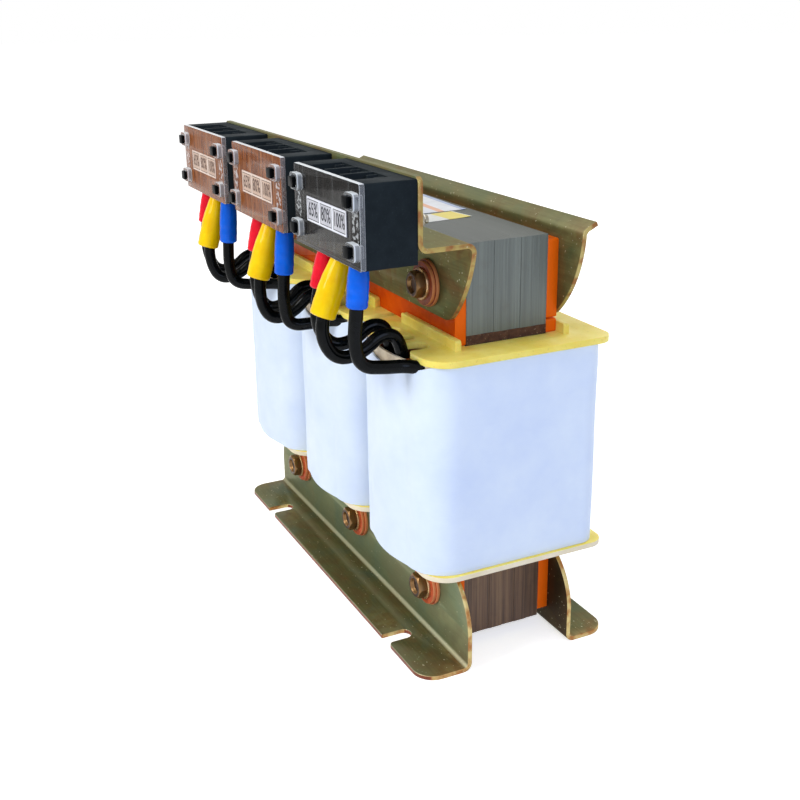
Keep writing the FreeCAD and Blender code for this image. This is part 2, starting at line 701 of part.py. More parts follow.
def terminal_screws():
    """Pan screws, one over the lug and one for the supply wire."""
    made = []
    middle = BLOCK_MIDDLE
    for x in BLOCKS:
        for pole in poles(x):
            for way in (-1, 1):
                z = middle + way * SCREW_SPREAD
                seat = PEDESTAL_FACE - BAR[2]
                if way < 0:
                    seat -= LUG_PLATE
                head = rod(3.9, V(pole, seat, z), V(pole, seat - 3.0, z))
                slot = box(pole - 0.5, pole + 0.5, seat - 4, seat - 1.8, z - 2.6, z + 2.6)
                cross = box(pole - 2.6, pole + 2.6, seat - 4, seat - 1.8, z - 0.5, z + 0.5)
                shank = rod(2.0, V(pole, seat, z), V(pole, PEDESTAL_FACE + 8, z))
                made.append(head.cut(slot).cut(cross).fuse(shank))
    return made


def block_screws():
    """Cheese-head screws that hold the blocks to the rail."""
    made = []
    z = BLOCK_MIDDLE
    seat = RAIL_Y - BASE_DEPTH
    for x in block_screw_places():
        head = rod(3.5, V(x, seat, z), V(x, seat - 2.8, z))
        slot = box(x - 3.6, x + 3.6, seat - 3, seat - 1.5, z - 0.5, z + 0.5)
        shank = rod(BLOCK_SCREW / 2, V(x, seat, z), V(x, RAIL_Y + SHEET + BLOCK_NUT[1] + 2.2, z))
        made.append(head.cut(slot).fuse(shank))
    return made


def block_nuts():
    """Nuts of the block screws behind the rail."""
    made = []
    z = BLOCK_MIDDLE
    start = RAIL_Y + SHEET
    for x in block_screw_places():
        nut = chamfered_hexagon(BLOCK_NUT[0], x, start, z, BLOCK_NUT[1], 1)
        bore = rod(BLOCK_SCREW / 2 + 0.3, V(x, start - 1, z), V(x, start + 5, z))
        made.append(nut.cut(bore))
    return made


def marking_strips():
    """Blank pale strip with three fields on each cover."""
    made = []
    z = BLOCK_MIDDLE - 0.4
    wide, high, thick = MARKING
    for x in BLOCKS:
        made.append(box(x - wide / 2 + 1.2, x + wide / 2 + 1.2, COVER_FACE - thick, COVER_FACE,
                        z - high / 2, z + high / 2))
    return made


# Leads

LUG_Y = PEDESTAL_FACE - BAR[2]
LEAD_Y = PEDESTAL_FACE - LUG_STAND
LEAD_Z = BLOCK_MIDDLE - SCREW_SPREAD - LUG_DROP

RED, YELLOW, BLUE = "red", "yellow", "blue"
POLE = {RED: -1, YELLOW: 0, BLUE: 1}
BOOT_LENGTH = {RED: 26.0, YELLOW: 34.0, BLUE: 27.0}
BOOT_END = {RED: 10.8, YELLOW: 13.4, BLUE: 10.8}
BOOT_NECK = 9.2

# Course of each lead across and up from its lug: (y, z) of the points between
# the lug and the coil, and the share of the sideways shift reached at each
COURSE = {
    RED: ((-85.4, 216.5, 0.0), (-89.6, 201.0, 0.0), (-91.0, 188.0, 0.3),
          (-84.5, 178.0, 0.55), (-73.5, 179.4, 0.78), (-64.0, 188.4, 0.92),
          (-53.9, 184.4, 1.0)),
    YELLOW: ((-87.4, 216.2, 0.0), (-93.8, 200.6, 0.0), (-95.6, 186.8, 0.15),
             (-88.5, 175.4, 0.4), (-75.0, 177.4, 0.7), (-64.4, 187.0, 0.88),
             (-54.0, 182.8, 1.0)),
    BLUE: ((-83.1, 216.8, 0.0), (-84.6, 201.5, 0.0), (-86.0, 187.0, 0.1),
           (-82.5, 175.6, 0.3), (-69.5, 173.6, 0.7)),
}
COURSE_END = {RED: (-4.0, -53.2), YELLOW: (10.0, -53.2), BLUE: (24.5, -56.4)}
BLUE_END_Z = FLANGE_UNDER - 2.0
# How the leads hang on each block, far to near: droop of the loops, share of
# the forward lean, and what the boots are longer
HANG = ((-1.5, 0.72, 5.0), (-4.2, 0.8, 4.5), (0.0, 1.0, 0.0))


def route(block, limb, colour, hang):
    """Points of a lead from its lug to the coil, in order."""
    droop, lean, _ = hang
    start = V(block + POLE[colour] * POLE_PITCH, LEAD_Y, LEAD_Z)
    offset, end_y = COURSE_END[colour]
    end = V(limb + offset, end_y, BLUE_END_Z if colour == BLUE else LEAD_SEAT)
    points = [start]
    for y, z, share in COURSE[colour]:
        if y < LEAD_Y:
            y = LEAD_Y + lean * (y - LEAD_Y)
        low = droop * min(1.0, max(0.0, (-58.0 - y) / 25.0)) if z < 200 else 0.0
        points.append(V(start.x + share * (end.x - start.x), y, z + low))
    points.append(end)
    return points


def bend_radii(points):
    """Arc radius of each inner corner, from its shorter run."""
    radii = [0.0]
    for i in range(1, len(points) - 1):
        back = points[i - 1] - points[i]
        ahead = points[i + 1] - points[i]
        shorter = min(back.Length, ahead.Length)
        turn = math.pi - back.getAngle(ahead)
        radii.append(0.45 * shorter / math.tan(turn / 2))
    radii.append(0.0)
    return radii


def lead(points, name):
    """A round lead swept along runs and tangent arcs."""
    radii = bend_radii(points)
    wire = Part.Wire(rounded_edges(points, radii, False))
    way = points[1] - points[0]
    circle = Part.Wire(Part.Circle(points[0], way, LEAD / 2).toShape())
    solid = wire.makePipeShell([circle], True, True)
    length = wire.Length
    ratio = solid.Volume / (math.pi * (LEAD / 2) ** 2 * length)
    turns = ", ".join("%.1f" % r for r in radii[1:-1])
    print("%s length %.1f radii %s volume ratio %.3f" % (name, length, turns, ratio))
    return solid


def boot(points, colour, extra):
    """Vinyl boot over the lug barrel and the start of the lead."""
    way = points[1] - points[0]
    way.normalize()
    length = BOOT_LENGTH[colour] + extra
    inner = LEAD / 2 + BOOT_CLEAR
    neck = BOOT_NECK / 2
    end = BOOT_END[colour] / 2
    profile = [V(inner, 0, 0), V(neck, 0, 0), V(neck + 0.2, 0, 5.0), V(end, 0, length * 0.6),
               V(end, 0, length), V(inner, 0, length)]
    radii = [0.0, 0.6, 8.0, 12.0, (end - inner) * 0.8, 0.0]
    face = Part.Face(Part.Wire(rounded_edges(profile, radii, True)))
    shape = face.revolve(V(0, 0, 0), V(0, 0, 1), 360)
    turn = FreeCAD.Rotation(V(0, 0, 1), way)
    shape.Placement = FreeCAD.Placement(points[0] - way * BOOT_LAP, turn)
    return shape


def ring_lug(points):
    """Ring under the terminal screw with a crimped barrel to the lead."""
    x = points[0].x
    z = BLOCK_MIDDLE - SCREW_SPREAD
    way = points[1] - points[0]
    way.normalize()
    back = LUG_Y
    face = back - LUG_PLATE
    ring = rod(4.1, V(x, back, z), V(x, face, z))
    top = points[0] - way * BARREL[1]
    tongue = box(x - 2.6, x + 2.6, back, face, top.z - 1.0, z)
    barrel = rod(BARREL[0] / 2, top, points[0])
    shape = ring.fuse(tongue).fuse(barrel)
    return shape.cut(rod(2.2, V(x, back + 1, z), V(x, face - 1, z)))


def lead_set():
    """The nine leads with their boots and lugs."""
    leads, boots, lugs = {}, {RED: [], YELLOW: [], BLUE: []}, []
    for number, (block, limb, hang) in enumerate(zip(BLOCKS, LIMBS, HANG), 1):
        for colour in (RED, YELLOW, BLUE):
            name = "lead_%s_%d" % (colour, number)
            points = route(block, limb, colour, hang)
            leads[name] = lead(points, name)
            extra = 0.0 if colour == RED else hang[2]
            boots[colour].append(boot(points, colour, extra))
            lugs.append(ring_lug(points))
    return leads, boots, lugs


def save(name, shapes):
    """Writes one node; a list becomes a group of separate solids."""
    shape = Part.makeCompound(shapes) if isinstance(shapes, list) else shapes
    if not shape.isValid():
        print("INVALID", name)
    shape.exportStep("parts/%s.step" % name)


def main():
    os.makedirs("parts", exist_ok=True)
    save("e_core", e_core())
    save("upper_yoke", upper_yoke())
    save("gap_boards", gap_boards())
    for number, x in enumerate(LIMBS, 1):
        save("bobbin_%d" % number, bobbin(x))
        save("winding_%d" % number, winding(x))
        save("paper_%d" % number, paper(x))
        save("outer_wrap_%d" % number, outer_wrap(x))
    save("front_clamp", front_clamp())
    save("rear_clamp", rear_clamp())
    save("front_foot", foot(FRONT_FOOT_REACH))
    save("rear_foot", mirrored_y(foot(REAR_FOOT_REACH)))
    save("front_strip", strip(-STRIP_FACE, FLANGE_TOP, STRIP_TOP, HIGH_BOLT_Z))
    save("rear_strip", strip(STACK / 2, REAR_CLAMP_LOW, STRIP_TOP, HIGH_BOLT_Z))
    save("rear_packer", strip(STACK / 2, FLANGE_TOP, REAR_CLAMP_LOW - 0.6))
    low, high = CORE_LIFT + FOOT_STRIP[0], YOKE_TOP - FOOT_STRIP[1]
    save("lower_strips", [strip(y, low, high, LOW_BOLT_Z)
                          for y in (-STRIP_FACE, STACK / 2)])
    for name, shapes in clamp_fasteners().items():
        save(name, shapes)
    for number, x in enumerate(BLOCKS, 1):
        save("block_body_%d" % number, block_body(x))
        save("block_cover_%d" % number, block_cover(x))
    save("cover_catches", catches())
    save("contact_bars", contact_bars())
    save("terminal_screws", terminal_screws())
    save("block_screws", block_screws())
    save("block_nuts", block_nuts())
    save("marking_strips", marking_strips())
    leads, boots, lugs = lead_set()
    for name, shape in leads.items():
        save(name, shape)
    for colour, shapes in boots.items():
        save("boots_%s" % colour, shapes)
    save("ring_lugs", lugs)


main()
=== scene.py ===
"""Looks of a three-phase starting reactor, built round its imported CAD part.

Metres. X runs along the row of coils, the terminal blocks are on the -Y side, Z is up
and the floor is at Z = 0. Each sub-assembly is a class that models its pieces and
dresses them; each finish is a frozen dataclass that paints one procedural material.
"""

import logging
import math
from dataclasses import dataclass
from enum import Enum
from typing import Callable, Sequence, Union

import bpy
from mathutils import Matrix, Vector, noise


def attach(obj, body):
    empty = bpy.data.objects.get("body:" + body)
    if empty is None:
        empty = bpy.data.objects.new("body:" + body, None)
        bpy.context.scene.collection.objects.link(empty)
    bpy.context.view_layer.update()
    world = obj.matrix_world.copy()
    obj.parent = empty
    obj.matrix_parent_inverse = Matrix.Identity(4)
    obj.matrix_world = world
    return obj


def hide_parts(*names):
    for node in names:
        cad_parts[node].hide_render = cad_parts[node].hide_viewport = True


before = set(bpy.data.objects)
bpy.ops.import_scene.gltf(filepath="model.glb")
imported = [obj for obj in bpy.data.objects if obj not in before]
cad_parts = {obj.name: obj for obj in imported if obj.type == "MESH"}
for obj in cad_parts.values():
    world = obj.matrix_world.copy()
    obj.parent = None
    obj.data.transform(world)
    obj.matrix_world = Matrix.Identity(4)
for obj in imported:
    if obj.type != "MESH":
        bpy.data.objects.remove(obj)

LOG = logging.getLogger("starting_reactor")
MM = 0.001
Colour = tuple[float, float, float, float]
Value = Union[bpy.types.NodeSocket, float, Sequence[float]]
FaceTest = Callable[[bpy.types.MeshPolygon], bool]

# X of the three limbs and of the three terminal blocks, in metres.
LIMBS = (-0.096, 0.0, 0.096)
BLOCKS = (-0.1, 0.0002, 0.1004)


# Node and colour helpers


def linear(value: str) -> Colour:
    """Turns an sRGB hex value to a linear colour.

    Args:
        value: The colour as "#RRGGBB".

    Returns:
        Red, green, blue and alpha on a linear scale.
    """
    parts = [int(value[i : i + 2], 16) / 255 for i in (1, 3, 5)]
    return (*(c / 12.92 if c <= 0.04045 else ((c + 0.055) / 1.055) ** 2.4 for c in parts), 1.0)


def add(
    tree: bpy.types.NodeTree,
    kind: str,
    inputs: dict[Union[int, str], Value] | None = None,
    **settings: object,
) -> bpy.types.Node:
    """Adds a node with its settings and links.

    Args:
        tree: The node tree that takes the node.
        kind: The node's type.
        inputs: A socket to link or a value to set, by the input's name or number.
        settings: The node's attributes; stops holds the (place, hex) stops of a ramp.

    Returns:
        The new node.
    """
    node = tree.nodes.new(kind)
    for name, setting in settings.items():
        if name != "stops":
            setattr(node, name, setting)
            continue
        elements = node.color_ramp.elements
        while len(elements) < len(setting):
            elements.new(0.5)
        for element, (place, tint) in zip(elements, setting):
            element.position = place
            element.color = linear(tint)
    for name, value in (inputs or {}).items():
        if isinstance(value, bpy.types.NodeSocket):
            tree.links.new(value, node.inputs[name])
        else:
            node.inputs[name].default_value = value
    return node


# Finishes


@dataclass(frozen=True)
class Finish:
    """A surface finish that paints one Principled shader."""

    name: str

    def paint(
        self, tree: bpy.types.NodeTree, shader: bpy.types.Node, place: bpy.types.NodeSocket
    ) -> None:
        """Sets the shader's sockets and links the finish's pattern.

        Args:
            tree: The material's node tree.
            shader: Its Principled shader.
            place: Object coordinates in metres.
        """
        raise NotImplementedError

    def material(self) -> bpy.types.Material:
        """Builds the finish's material at its first use.

        Returns:
            The one material of this finish.
        """
        known = bpy.data.materials.get(self.name)
        if known:
            return known
        made = bpy.data.materials.new(self.name)
        made.use_nodes = True
        tree = made.node_tree
        tree.nodes.clear()
        shader = add(tree, "ShaderNodeBsdfPrincipled")
        add(tree, "ShaderNodeOutputMaterial", {"Surface": shader.outputs[0]})
        self.paint(tree, shader, add(tree, "ShaderNodeTexCoord").outputs["Object"])
        return made


@dataclass(frozen=True)
class SheetStack(Finish):
    """Stacked electrical steel under varnish: the sheet edges are fine streaks.

    The real sheets are 0.5 mm thick, too fine for the picture, so the streaks are
    drawn about 1.1 mm apart. The top face is given a colour of its own, a painted shade.
    Brown varnish gathers in drips and stains about 18 mm across.

    dark, middle and light are the streaks, top is the painted shade of the top face, face
    the plain end sheet towards the front or rear, and stains the depth of the stains.
    """

    dark: str
    middle: str
    light: str
    top: str
    face: str
    stain: str
    stains: float
    streak_mm: float = 1.1
    roughness: float = 0.46

    def paint(
        self, tree: bpy.types.NodeTree, shader: bpy.types.Node, place: bpy.types.NodeSocket
    ) -> None:
        """Streaks across the stack, broad bands, stains, a painted shade on the top and a
        plain varnished face.

        Args:
            tree: The material's node tree.
            shader: Its Principled shader.
            place: Object coordinates in metres.
        """
        fine = 1000.0 / self.streak_mm
        # Streaks of the single sheets and broader bands of several.
        thin = add(
            tree, "ShaderNodeVectorMath", {0: place, 1: (11.0, fine, 11.0)}, operation="MULTIPLY"
        )
        wide = add(
            tree,
            "ShaderNodeVectorMath",
            {0: place, 1: (7.0, fine / 5.0, 7.0)},
            operation="MULTIPLY",
        )
        streaks = add(
            tree,
            "ShaderNodeTexNoise",
            {"Vector": thin.outputs[0], "Scale": 1.0, "Detail": 3.0, "Roughness": 0.7},
        )
        bands = add(
            tree, "ShaderNodeTexNoise", {"Vector": wide.outputs[0], "Scale": 1.0, "Detail": 1.0}
        )
        tone = add(
            tree,
            "ShaderNodeMix",
            {0: 0.36, 2: streaks.outputs[0], 3: bands.outputs[0]},
            data_type="FLOAT",
        )
        edges = add(
            tree,
            "ShaderNodeValToRGB",
            {0: tone.outputs[0]},
            stops=((0.36, self.dark), (0.5, self.middle), (0.66, self.light)),
        )
        # Painted shade: the top face's colour, mixed into the streaks.
        shaded_top = add(
            tree,
            "ShaderNodeMix",
            {0: 0.72, 6: edges.outputs[0], 7: linear(self.top)},
            data_type="RGBA",
        )
        # The painted shade of the top, the plain end sheets and the stains over both.
        normal = add(
            tree, "ShaderNodeSeparateXYZ", {0: add(tree, "ShaderNodeTexCoord").outputs["Normal"]}
        )
        side = add(tree, "ShaderNodeMath", {0: normal.outputs[1]}, operation="ABSOLUTE")
        flat = add(tree, "ShaderNodeMath", {0: side.outputs[0], 1: 0.7}, operation="GREATER_THAN")
        blotch = add(
            tree,
            "ShaderNodeTexNoise",
            {"Vector": place, "Scale": 55.0, "Detail": 5.0, "Roughness": 0.62},
        )
        stained = add(
            tree,
            "ShaderNodeMapRange",
            {0: blotch.outputs[0], 1: 0.56, 2: 0.72, 3: 0.0, 4: self.stains},
        )
        level = add(
            tree, "ShaderNodeMath", {0: normal.outputs[2], 1: 0.7}, operation="GREATER_THAN"
        )
        turned = add(
            tree,
            "ShaderNodeMix",
            {0: level.outputs[0], 6: edges.outputs[0], 7: shaded_top.outputs[2]},
            data_type="RGBA",
        )
        bare = add(
            tree,
            "ShaderNodeMix",
            {0: flat.outputs[0], 6: turned.outputs[2], 7: linear(self.face)},
            data_type="RGBA",
        )
        colour = add(
            tree,
            "ShaderNodeMix",
            {0: stained.outputs[0], 6: bare.outputs[2], 7: linear(self.stain)},
            data_type="RGBA",
        )
        # Only the streaked edges are rough to the touch.
        edge = add(tree, "ShaderNodeMath", {0: 1.0, 1: flat.outputs[0]}, operation="SUBTRACT")
        relief = add(
            tree,
            "ShaderNodeMath",
            {0: streaks.outputs[0], 1: edge.outputs[0]},
            operation="MULTIPLY",
        )
        bump = add(
            tree,
            "ShaderNodeBump",
            {"Strength": 0.55, "Distance": 0.0004, "Height": relief.outputs[0]},
        )
        tree.links.new(colour.outputs[2], shader.inputs["Base Color"])
        tree.links.new(bump.outputs[0], shader.inputs["Normal"])
        shader.inputs["Metallic"].default_value = 0.3
        shader.inputs["Roughness"].default_value = self.roughness


@dataclass(frozen=True)
class PassivatedZinc(Finish):
    """Zinc-plated sheet, yellow passivated: olive with green, gold and pink drifts.

    The drifts are about 38 mm across. The sheared edges at the ends carry gold, partly
    a painted highlight, with copper patches of 7 mm, brushing leaves scratches about 1 mm
    apart, and white specks of salt and dust, a millimetre or two across, lie on it.

    Faces that look up are drawn towards the colour level by the share levels, a painted
    light. Faces that look forwards are drawn towards upright by the share
    front_light_and_shade: a painted light on the front foot, a painted shade on the rear
    foot. The outer sides of the folds are drawn towards bend by the share
    bend_highlight_share, a painted highlight. grazing tints the gloss at a low angle, and
    seed moves the pattern.
    """

    base: str
    green: str
    brown: str
    edge: str
    edge_warm: str
    metallic: float = 0.5
    roughness: float = 0.42
    seed: float = 0.0
    grazing: str = "#8A8660"
    level: str = "#9A9874"
    levels: float = 0.3
    upright: str = "#88987A"
    front_light_and_shade: float = 0.0
    bend: str = "#C2C2A4"
    bend_highlight_share: float = 0.35
    salt: str = "#D8D2B4"

    def paint(
        self, tree: bpy.types.NodeTree, shader: bpy.types.Node, place: bpy.types.NodeSocket
    ) -> None:
        """Drifting passivation colours, bright cut edges, scratches and specks.

        Args:
            tree: The material's node tree.
            shader: Its Principled shader.
            place: Object coordinates in metres.
        """
        # Drifts of colour and fine scratches along the sheet.
        moved = add(
            tree,
            "ShaderNodeVectorMath",
            {0: place, 1: (self.seed, self.seed * 0.7, 0.0)},
            operation="ADD",
        )
        drift = add(
            tree,
            "ShaderNodeTexNoise",
            {
                "Vector": moved.outputs[0],
                "Scale": 26.0,
                "Detail": 5.0,
                "Roughness": 0.58,
                "Distortion": 0.9,
            },
        )
        drifts = add(
            tree,
            "ShaderNodeValToRGB",
            {0: drift.outputs[0]},
            stops=((0.34, self.green), (0.5, self.base), (0.72, self.brown)),
        )
        brushed = add(
            tree,
            "ShaderNodeVectorMath",
            {0: moved.outputs[0], 1: (60.0, 900.0, 900.0)},
            operation="MULTIPLY",
        )
        scratch = add(
            tree, "ShaderNodeTexNoise", {"Vector": brushed.outputs[0], "Scale": 1.0, "Detail": 2.0}
        )
        shade = add(
            tree, "ShaderNodeMapRange", {0: scratch.outputs[0], 1: 0.3, 2: 0.7, 3: 0.86, 4: 1.14}
        )
        sheet = add(
            tree,
            "ShaderNodeVectorMath",
            {0: drifts.outputs[0], "Scale": shade.outputs[0]},
            operation="SCALE",
        )
        # Cut edges at the ends, gold with patches of copper, brightened as a painted highlight.
        patch = add(
            tree, "ShaderNodeTexNoise", {"Vector": moved.outputs[0], "Scale": 150.0, "Detail": 3.0}
        )
        golds = add(
            tree,
            "ShaderNodeValToRGB",
            {0: patch.outputs[0]},
            stops=((0.42, self.edge), (0.6, self.edge_warm)),
        )
        normal = add(
            tree, "ShaderNodeSeparateXYZ", {0: add(tree, "ShaderNodeTexCoord").outputs["Normal"]}
        )
        along = add(tree, "ShaderNodeMath", {0: normal.outputs[0]}, operation="ABSOLUTE")
        cut = add(tree, "ShaderNodeMapRange", {0: along.outputs[0], 1: 0.12, 2: 0.4})
        coated = add(
            tree,
            "ShaderNodeMix",
            {0: cut.outputs[0], 6: sheet.outputs[0], 7: golds.outputs[0]},
            data_type="RGBA",
        )
        # Painted light on faces that look up, painted light and shade on faces that look
        # forwards, then a painted highlight on the outer sides of the folds.
        flat = add(
            tree,
            "ShaderNodeMapRange",
            {0: normal.outputs[2], 1: 0.8, 2: 0.95, 3: 0.0, 4: self.levels},
        )
        lit_tops = add(
            tree,
            "ShaderNodeMix",
            {0: flat.outputs[0], 6: coated.outputs[2], 7: linear(self.level)},
            data_type="RGBA",
        )
        # Forward faces: painted light on the front foot, painted shade on the rear foot.
        facing = add(
            tree,
            "ShaderNodeMapRange",
            {0: normal.outputs[1], 1: -0.8, 2: -0.95, 3: 0.0, 4: self.front_light_and_shade},
        )
        faced = add(
            tree,
            "ShaderNodeMix",
            {0: facing.outputs[0], 6: lit_tops.outputs[2], 7: linear(self.upright)},
            data_type="RGBA",
        )
        # The outer sides of the folds: a painted highlight.
        slope = add(
            tree,
            "ShaderNodeMath",
            {0: normal.outputs[1], 1: normal.outputs[2]},
            operation="MULTIPLY",
        )
        turning = add(
            tree,
            "ShaderNodeMapRange",
            {0: slope.outputs[0], 1: -0.1, 2: -0.4, 3: 0.0, 4: self.bend_highlight_share},
        )
        bent = add(
            tree,
            "ShaderNodeMix",
            {0: turning.outputs[0], 6: faced.outputs[2], 7: linear(self.bend)},
            data_type="RGBA",
        )
        # Specks over all, and gloss that follows the drifts.
        dust = add(
            tree, "ShaderNodeTexNoise", {"Vector": moved.outputs[0], "Scale": 620.0, "Detail": 1.0}
        )
        specks = add(
            tree, "ShaderNodeMapRange", {0: dust.outputs[0], 1: 0.72, 2: 0.78, 3: 0.0, 4: 0.7}
        )
        colour = add(
            tree,
            "ShaderNodeMix",
            {0: specks.outputs[0], 6: bent.outputs[2], 7: linear(self.salt)},
            data_type="RGBA",
        )
        gloss = add(
            tree,
            "ShaderNodeMapRange",
            {
                0: drift.outputs[0],
                1: 0.3,
                2: 0.7,
                3: self.roughness - 0.08,
                4: self.roughness + 0.12,
            },
        )
        bump = add(
            tree,
            "ShaderNodeBump",
            {"Strength": 0.12, "Distance": 0.0003, "Height": scratch.outputs[0]},
        )
        tree.links.new(colour.outputs[2], shader.inputs["Base Color"])
        tree.links.new(gloss.outputs[0], shader.inputs["Roughness"])
        tree.links.new(bump.outputs[0], shader.inputs["Normal"])
        shader.inputs["Metallic"].default_value = self.metallic
        shader.inputs["Specular Tint"].default_value = linear(self.grazing)


@dataclass(frozen=True)
class Mottled(Finish):
    """A moulded, pressed or wrapped surface with two-tone mottling and a fine grain.

    Used for plastics, boards, papers and small metal parts. Mottling, specks and grain
    have real sizes in millimetres; metal stays at the default index of refraction. A
    rim colour is a painted highlight on the faces that look away from Y: the edges and
    sides of bolts and washers, and the ends and tops of the strips.

    contrast is half the span over which base turns to other, specks the depth of the
    specks, soft the share of light that spreads inside, and coat the clear gloss.
    """

    base: str
    other: str
    speck: str
    mottle_mm: float
    grain_mm: float
    roughness: float
    specks: float = 0.0
    speck_mm: float = 2.0
    metallic: float = 0.0
    bump: float = 0.1
    specular: float = 0.25
    soft: float = 0.0
    contrast: float = 0.16
    rim: str = ""
    coat: float = 0.0

    def paint(
        self, tree: bpy.types.NodeTree, shader: bpy.types.Node, place: bpy.types.NodeSocket
    ) -> None:
        """Broad mottling, sparse specks and a fine grain in the bump.

        Args:
            tree: The material's node tree.
            shader: Its Principled shader.
            place: Object coordinates in metres.
        """
        mottle = add(
            tree,
            "ShaderNodeTexNoise",
            {"Vector": place, "Scale": 1000.0 / self.mottle_mm, "Detail": 4.0, "Roughness": 0.6},
        )
        tones = add(
            tree,
            "ShaderNodeValToRGB",
            {0: mottle.outputs[0]},
            stops=((0.5 - self.contrast, self.base), (0.5 + self.contrast, self.other)),
        )
        dots = add(
            tree,
            "ShaderNodeTexNoise",
            {"Vector": place, "Scale": 1000.0 / self.speck_mm, "Detail": 2.0},
        )
        mask = add(
            tree,
            "ShaderNodeMapRange",
            {0: dots.outputs[0], 1: 0.62, 2: 0.72, 3: 0.0, 4: self.specks},
        )
        colour = add(
            tree,
            "ShaderNodeMix",
            {0: mask.outputs[0], 6: tones.outputs[0], 7: linear(self.speck)},
            data_type="RGBA",
        )
        grain = add(
            tree,
            "ShaderNodeTexNoise",
            {"Vector": place, "Scale": 1000.0 / self.grain_mm, "Detail": 3.0},
        )
        gloss = add(
            tree,
            "ShaderNodeMapRange",
            {
                0: mottle.outputs[0],
                1: 0.3,
                2: 0.7,
                3: self.roughness - 0.05,
                4: self.roughness + 0.05,
            },
        )
        bump = add(
            tree,
            "ShaderNodeBump",
            {"Strength": self.bump, "Distance": 0.0003, "Height": grain.outputs[0]},
        )
        # Painted highlight: faces that look away from Y are drawn towards the rim colour.
        if self.rim:
            normal = add(
                tree,
                "ShaderNodeSeparateXYZ",
                {0: add(tree, "ShaderNodeTexCoord").outputs["Normal"]},
            )
            front = add(tree, "ShaderNodeMath", {0: normal.outputs[1]}, operation="ABSOLUTE")
            turned = add(
                tree, "ShaderNodeMapRange", {0: front.outputs[0], 1: 0.97, 2: 0.8, 3: 0.0, 4: 0.85}
            )
            colour = add(
                tree,
                "ShaderNodeMix",
                {0: turned.outputs[0], 6: colour.outputs[2], 7: linear(self.rim)},
                data_type="RGBA",
            )
        tree.links.new(colour.outputs[2], shader.inputs["Base Color"])
        tree.links.new(gloss.outputs[0], shader.inputs["Roughness"])
        tree.links.new(bump.outputs[0], shader.inputs["Normal"])
        shader.inputs["Metallic"].default_value = self.metallic
        if not self.metallic:
            shader.inputs["Specular IOR Level"].default_value = self.specular
        shader.inputs["Subsurface Weight"].default_value = self.soft
        shader.inputs["Subsurface Scale"].default_value = 0.004
        shader.inputs["Coat Weight"].default_value = self.coat
        shader.inputs["Coat Roughness"].default_value = 0.08


@dataclass(frozen=True)
class ShrunkSleeve(Finish):
    """Black varnished sleeving: glossy, with rings where it creases in the bends.

    The creases are about 5 mm apart. The weave, 0.7 mm here, is coarser than the real
    one, which is too fine to show alone.
    """

    dark: str = "#030506"
    light: str = "#080B0D"

    def paint(
        self, tree: bpy.types.NodeTree, shader: bpy.types.Node, place: bpy.types.NodeSocket
    ) -> None:
        """Uneven rings along the lead and a faint weave.

        Args:
            tree: The material's node tree.
            shader: Its Principled shader.
            place: Object coordinates in metres.
        """
        rings = add(
            tree,
            "ShaderNodeTexNoise",
            {"Vector": place, "Scale": 210.0, "Detail": 2.0, "Distortion": 1.2},
        )
        weave = add(tree, "ShaderNodeTexNoise", {"Vector": place, "Scale": 1400.0, "Detail": 1.0})
        height = add(
            tree,
            "ShaderNodeMix",
            {0: 0.2, 2: rings.outputs[0], 3: weave.outputs[0]},
            data_type="FLOAT",
        )
        bump = add(
            tree,
            "ShaderNodeBump",
            {"Strength": 0.5, "Distance": 0.0011, "Height": height.outputs[0]},
        )
        tone = add(
            tree,
            "ShaderNodeValToRGB",
            {0: rings.outputs[0]},
            stops=((0.4, self.dark), (0.62, self.light)),
        )
        gloss = add(
            tree, "ShaderNodeMapRange", {0: rings.outputs[0], 1: 0.35, 2: 0.65, 3: 0.1, 4: 0.24}
        )
        tree.links.new(tone.outputs[0], shader.inputs["Base Color"])
        tree.links.new(gloss.outputs[0], shader.inputs["Roughness"])
        tree.links.new(bump.outputs[0], shader.inputs["Normal"])
        shader.inputs["Specular IOR Level"].default_value = 0.02
        shader.inputs["Coat Weight"].default_value = 0.17
        shader.inputs["Coat Roughness"].default_value = 0.05


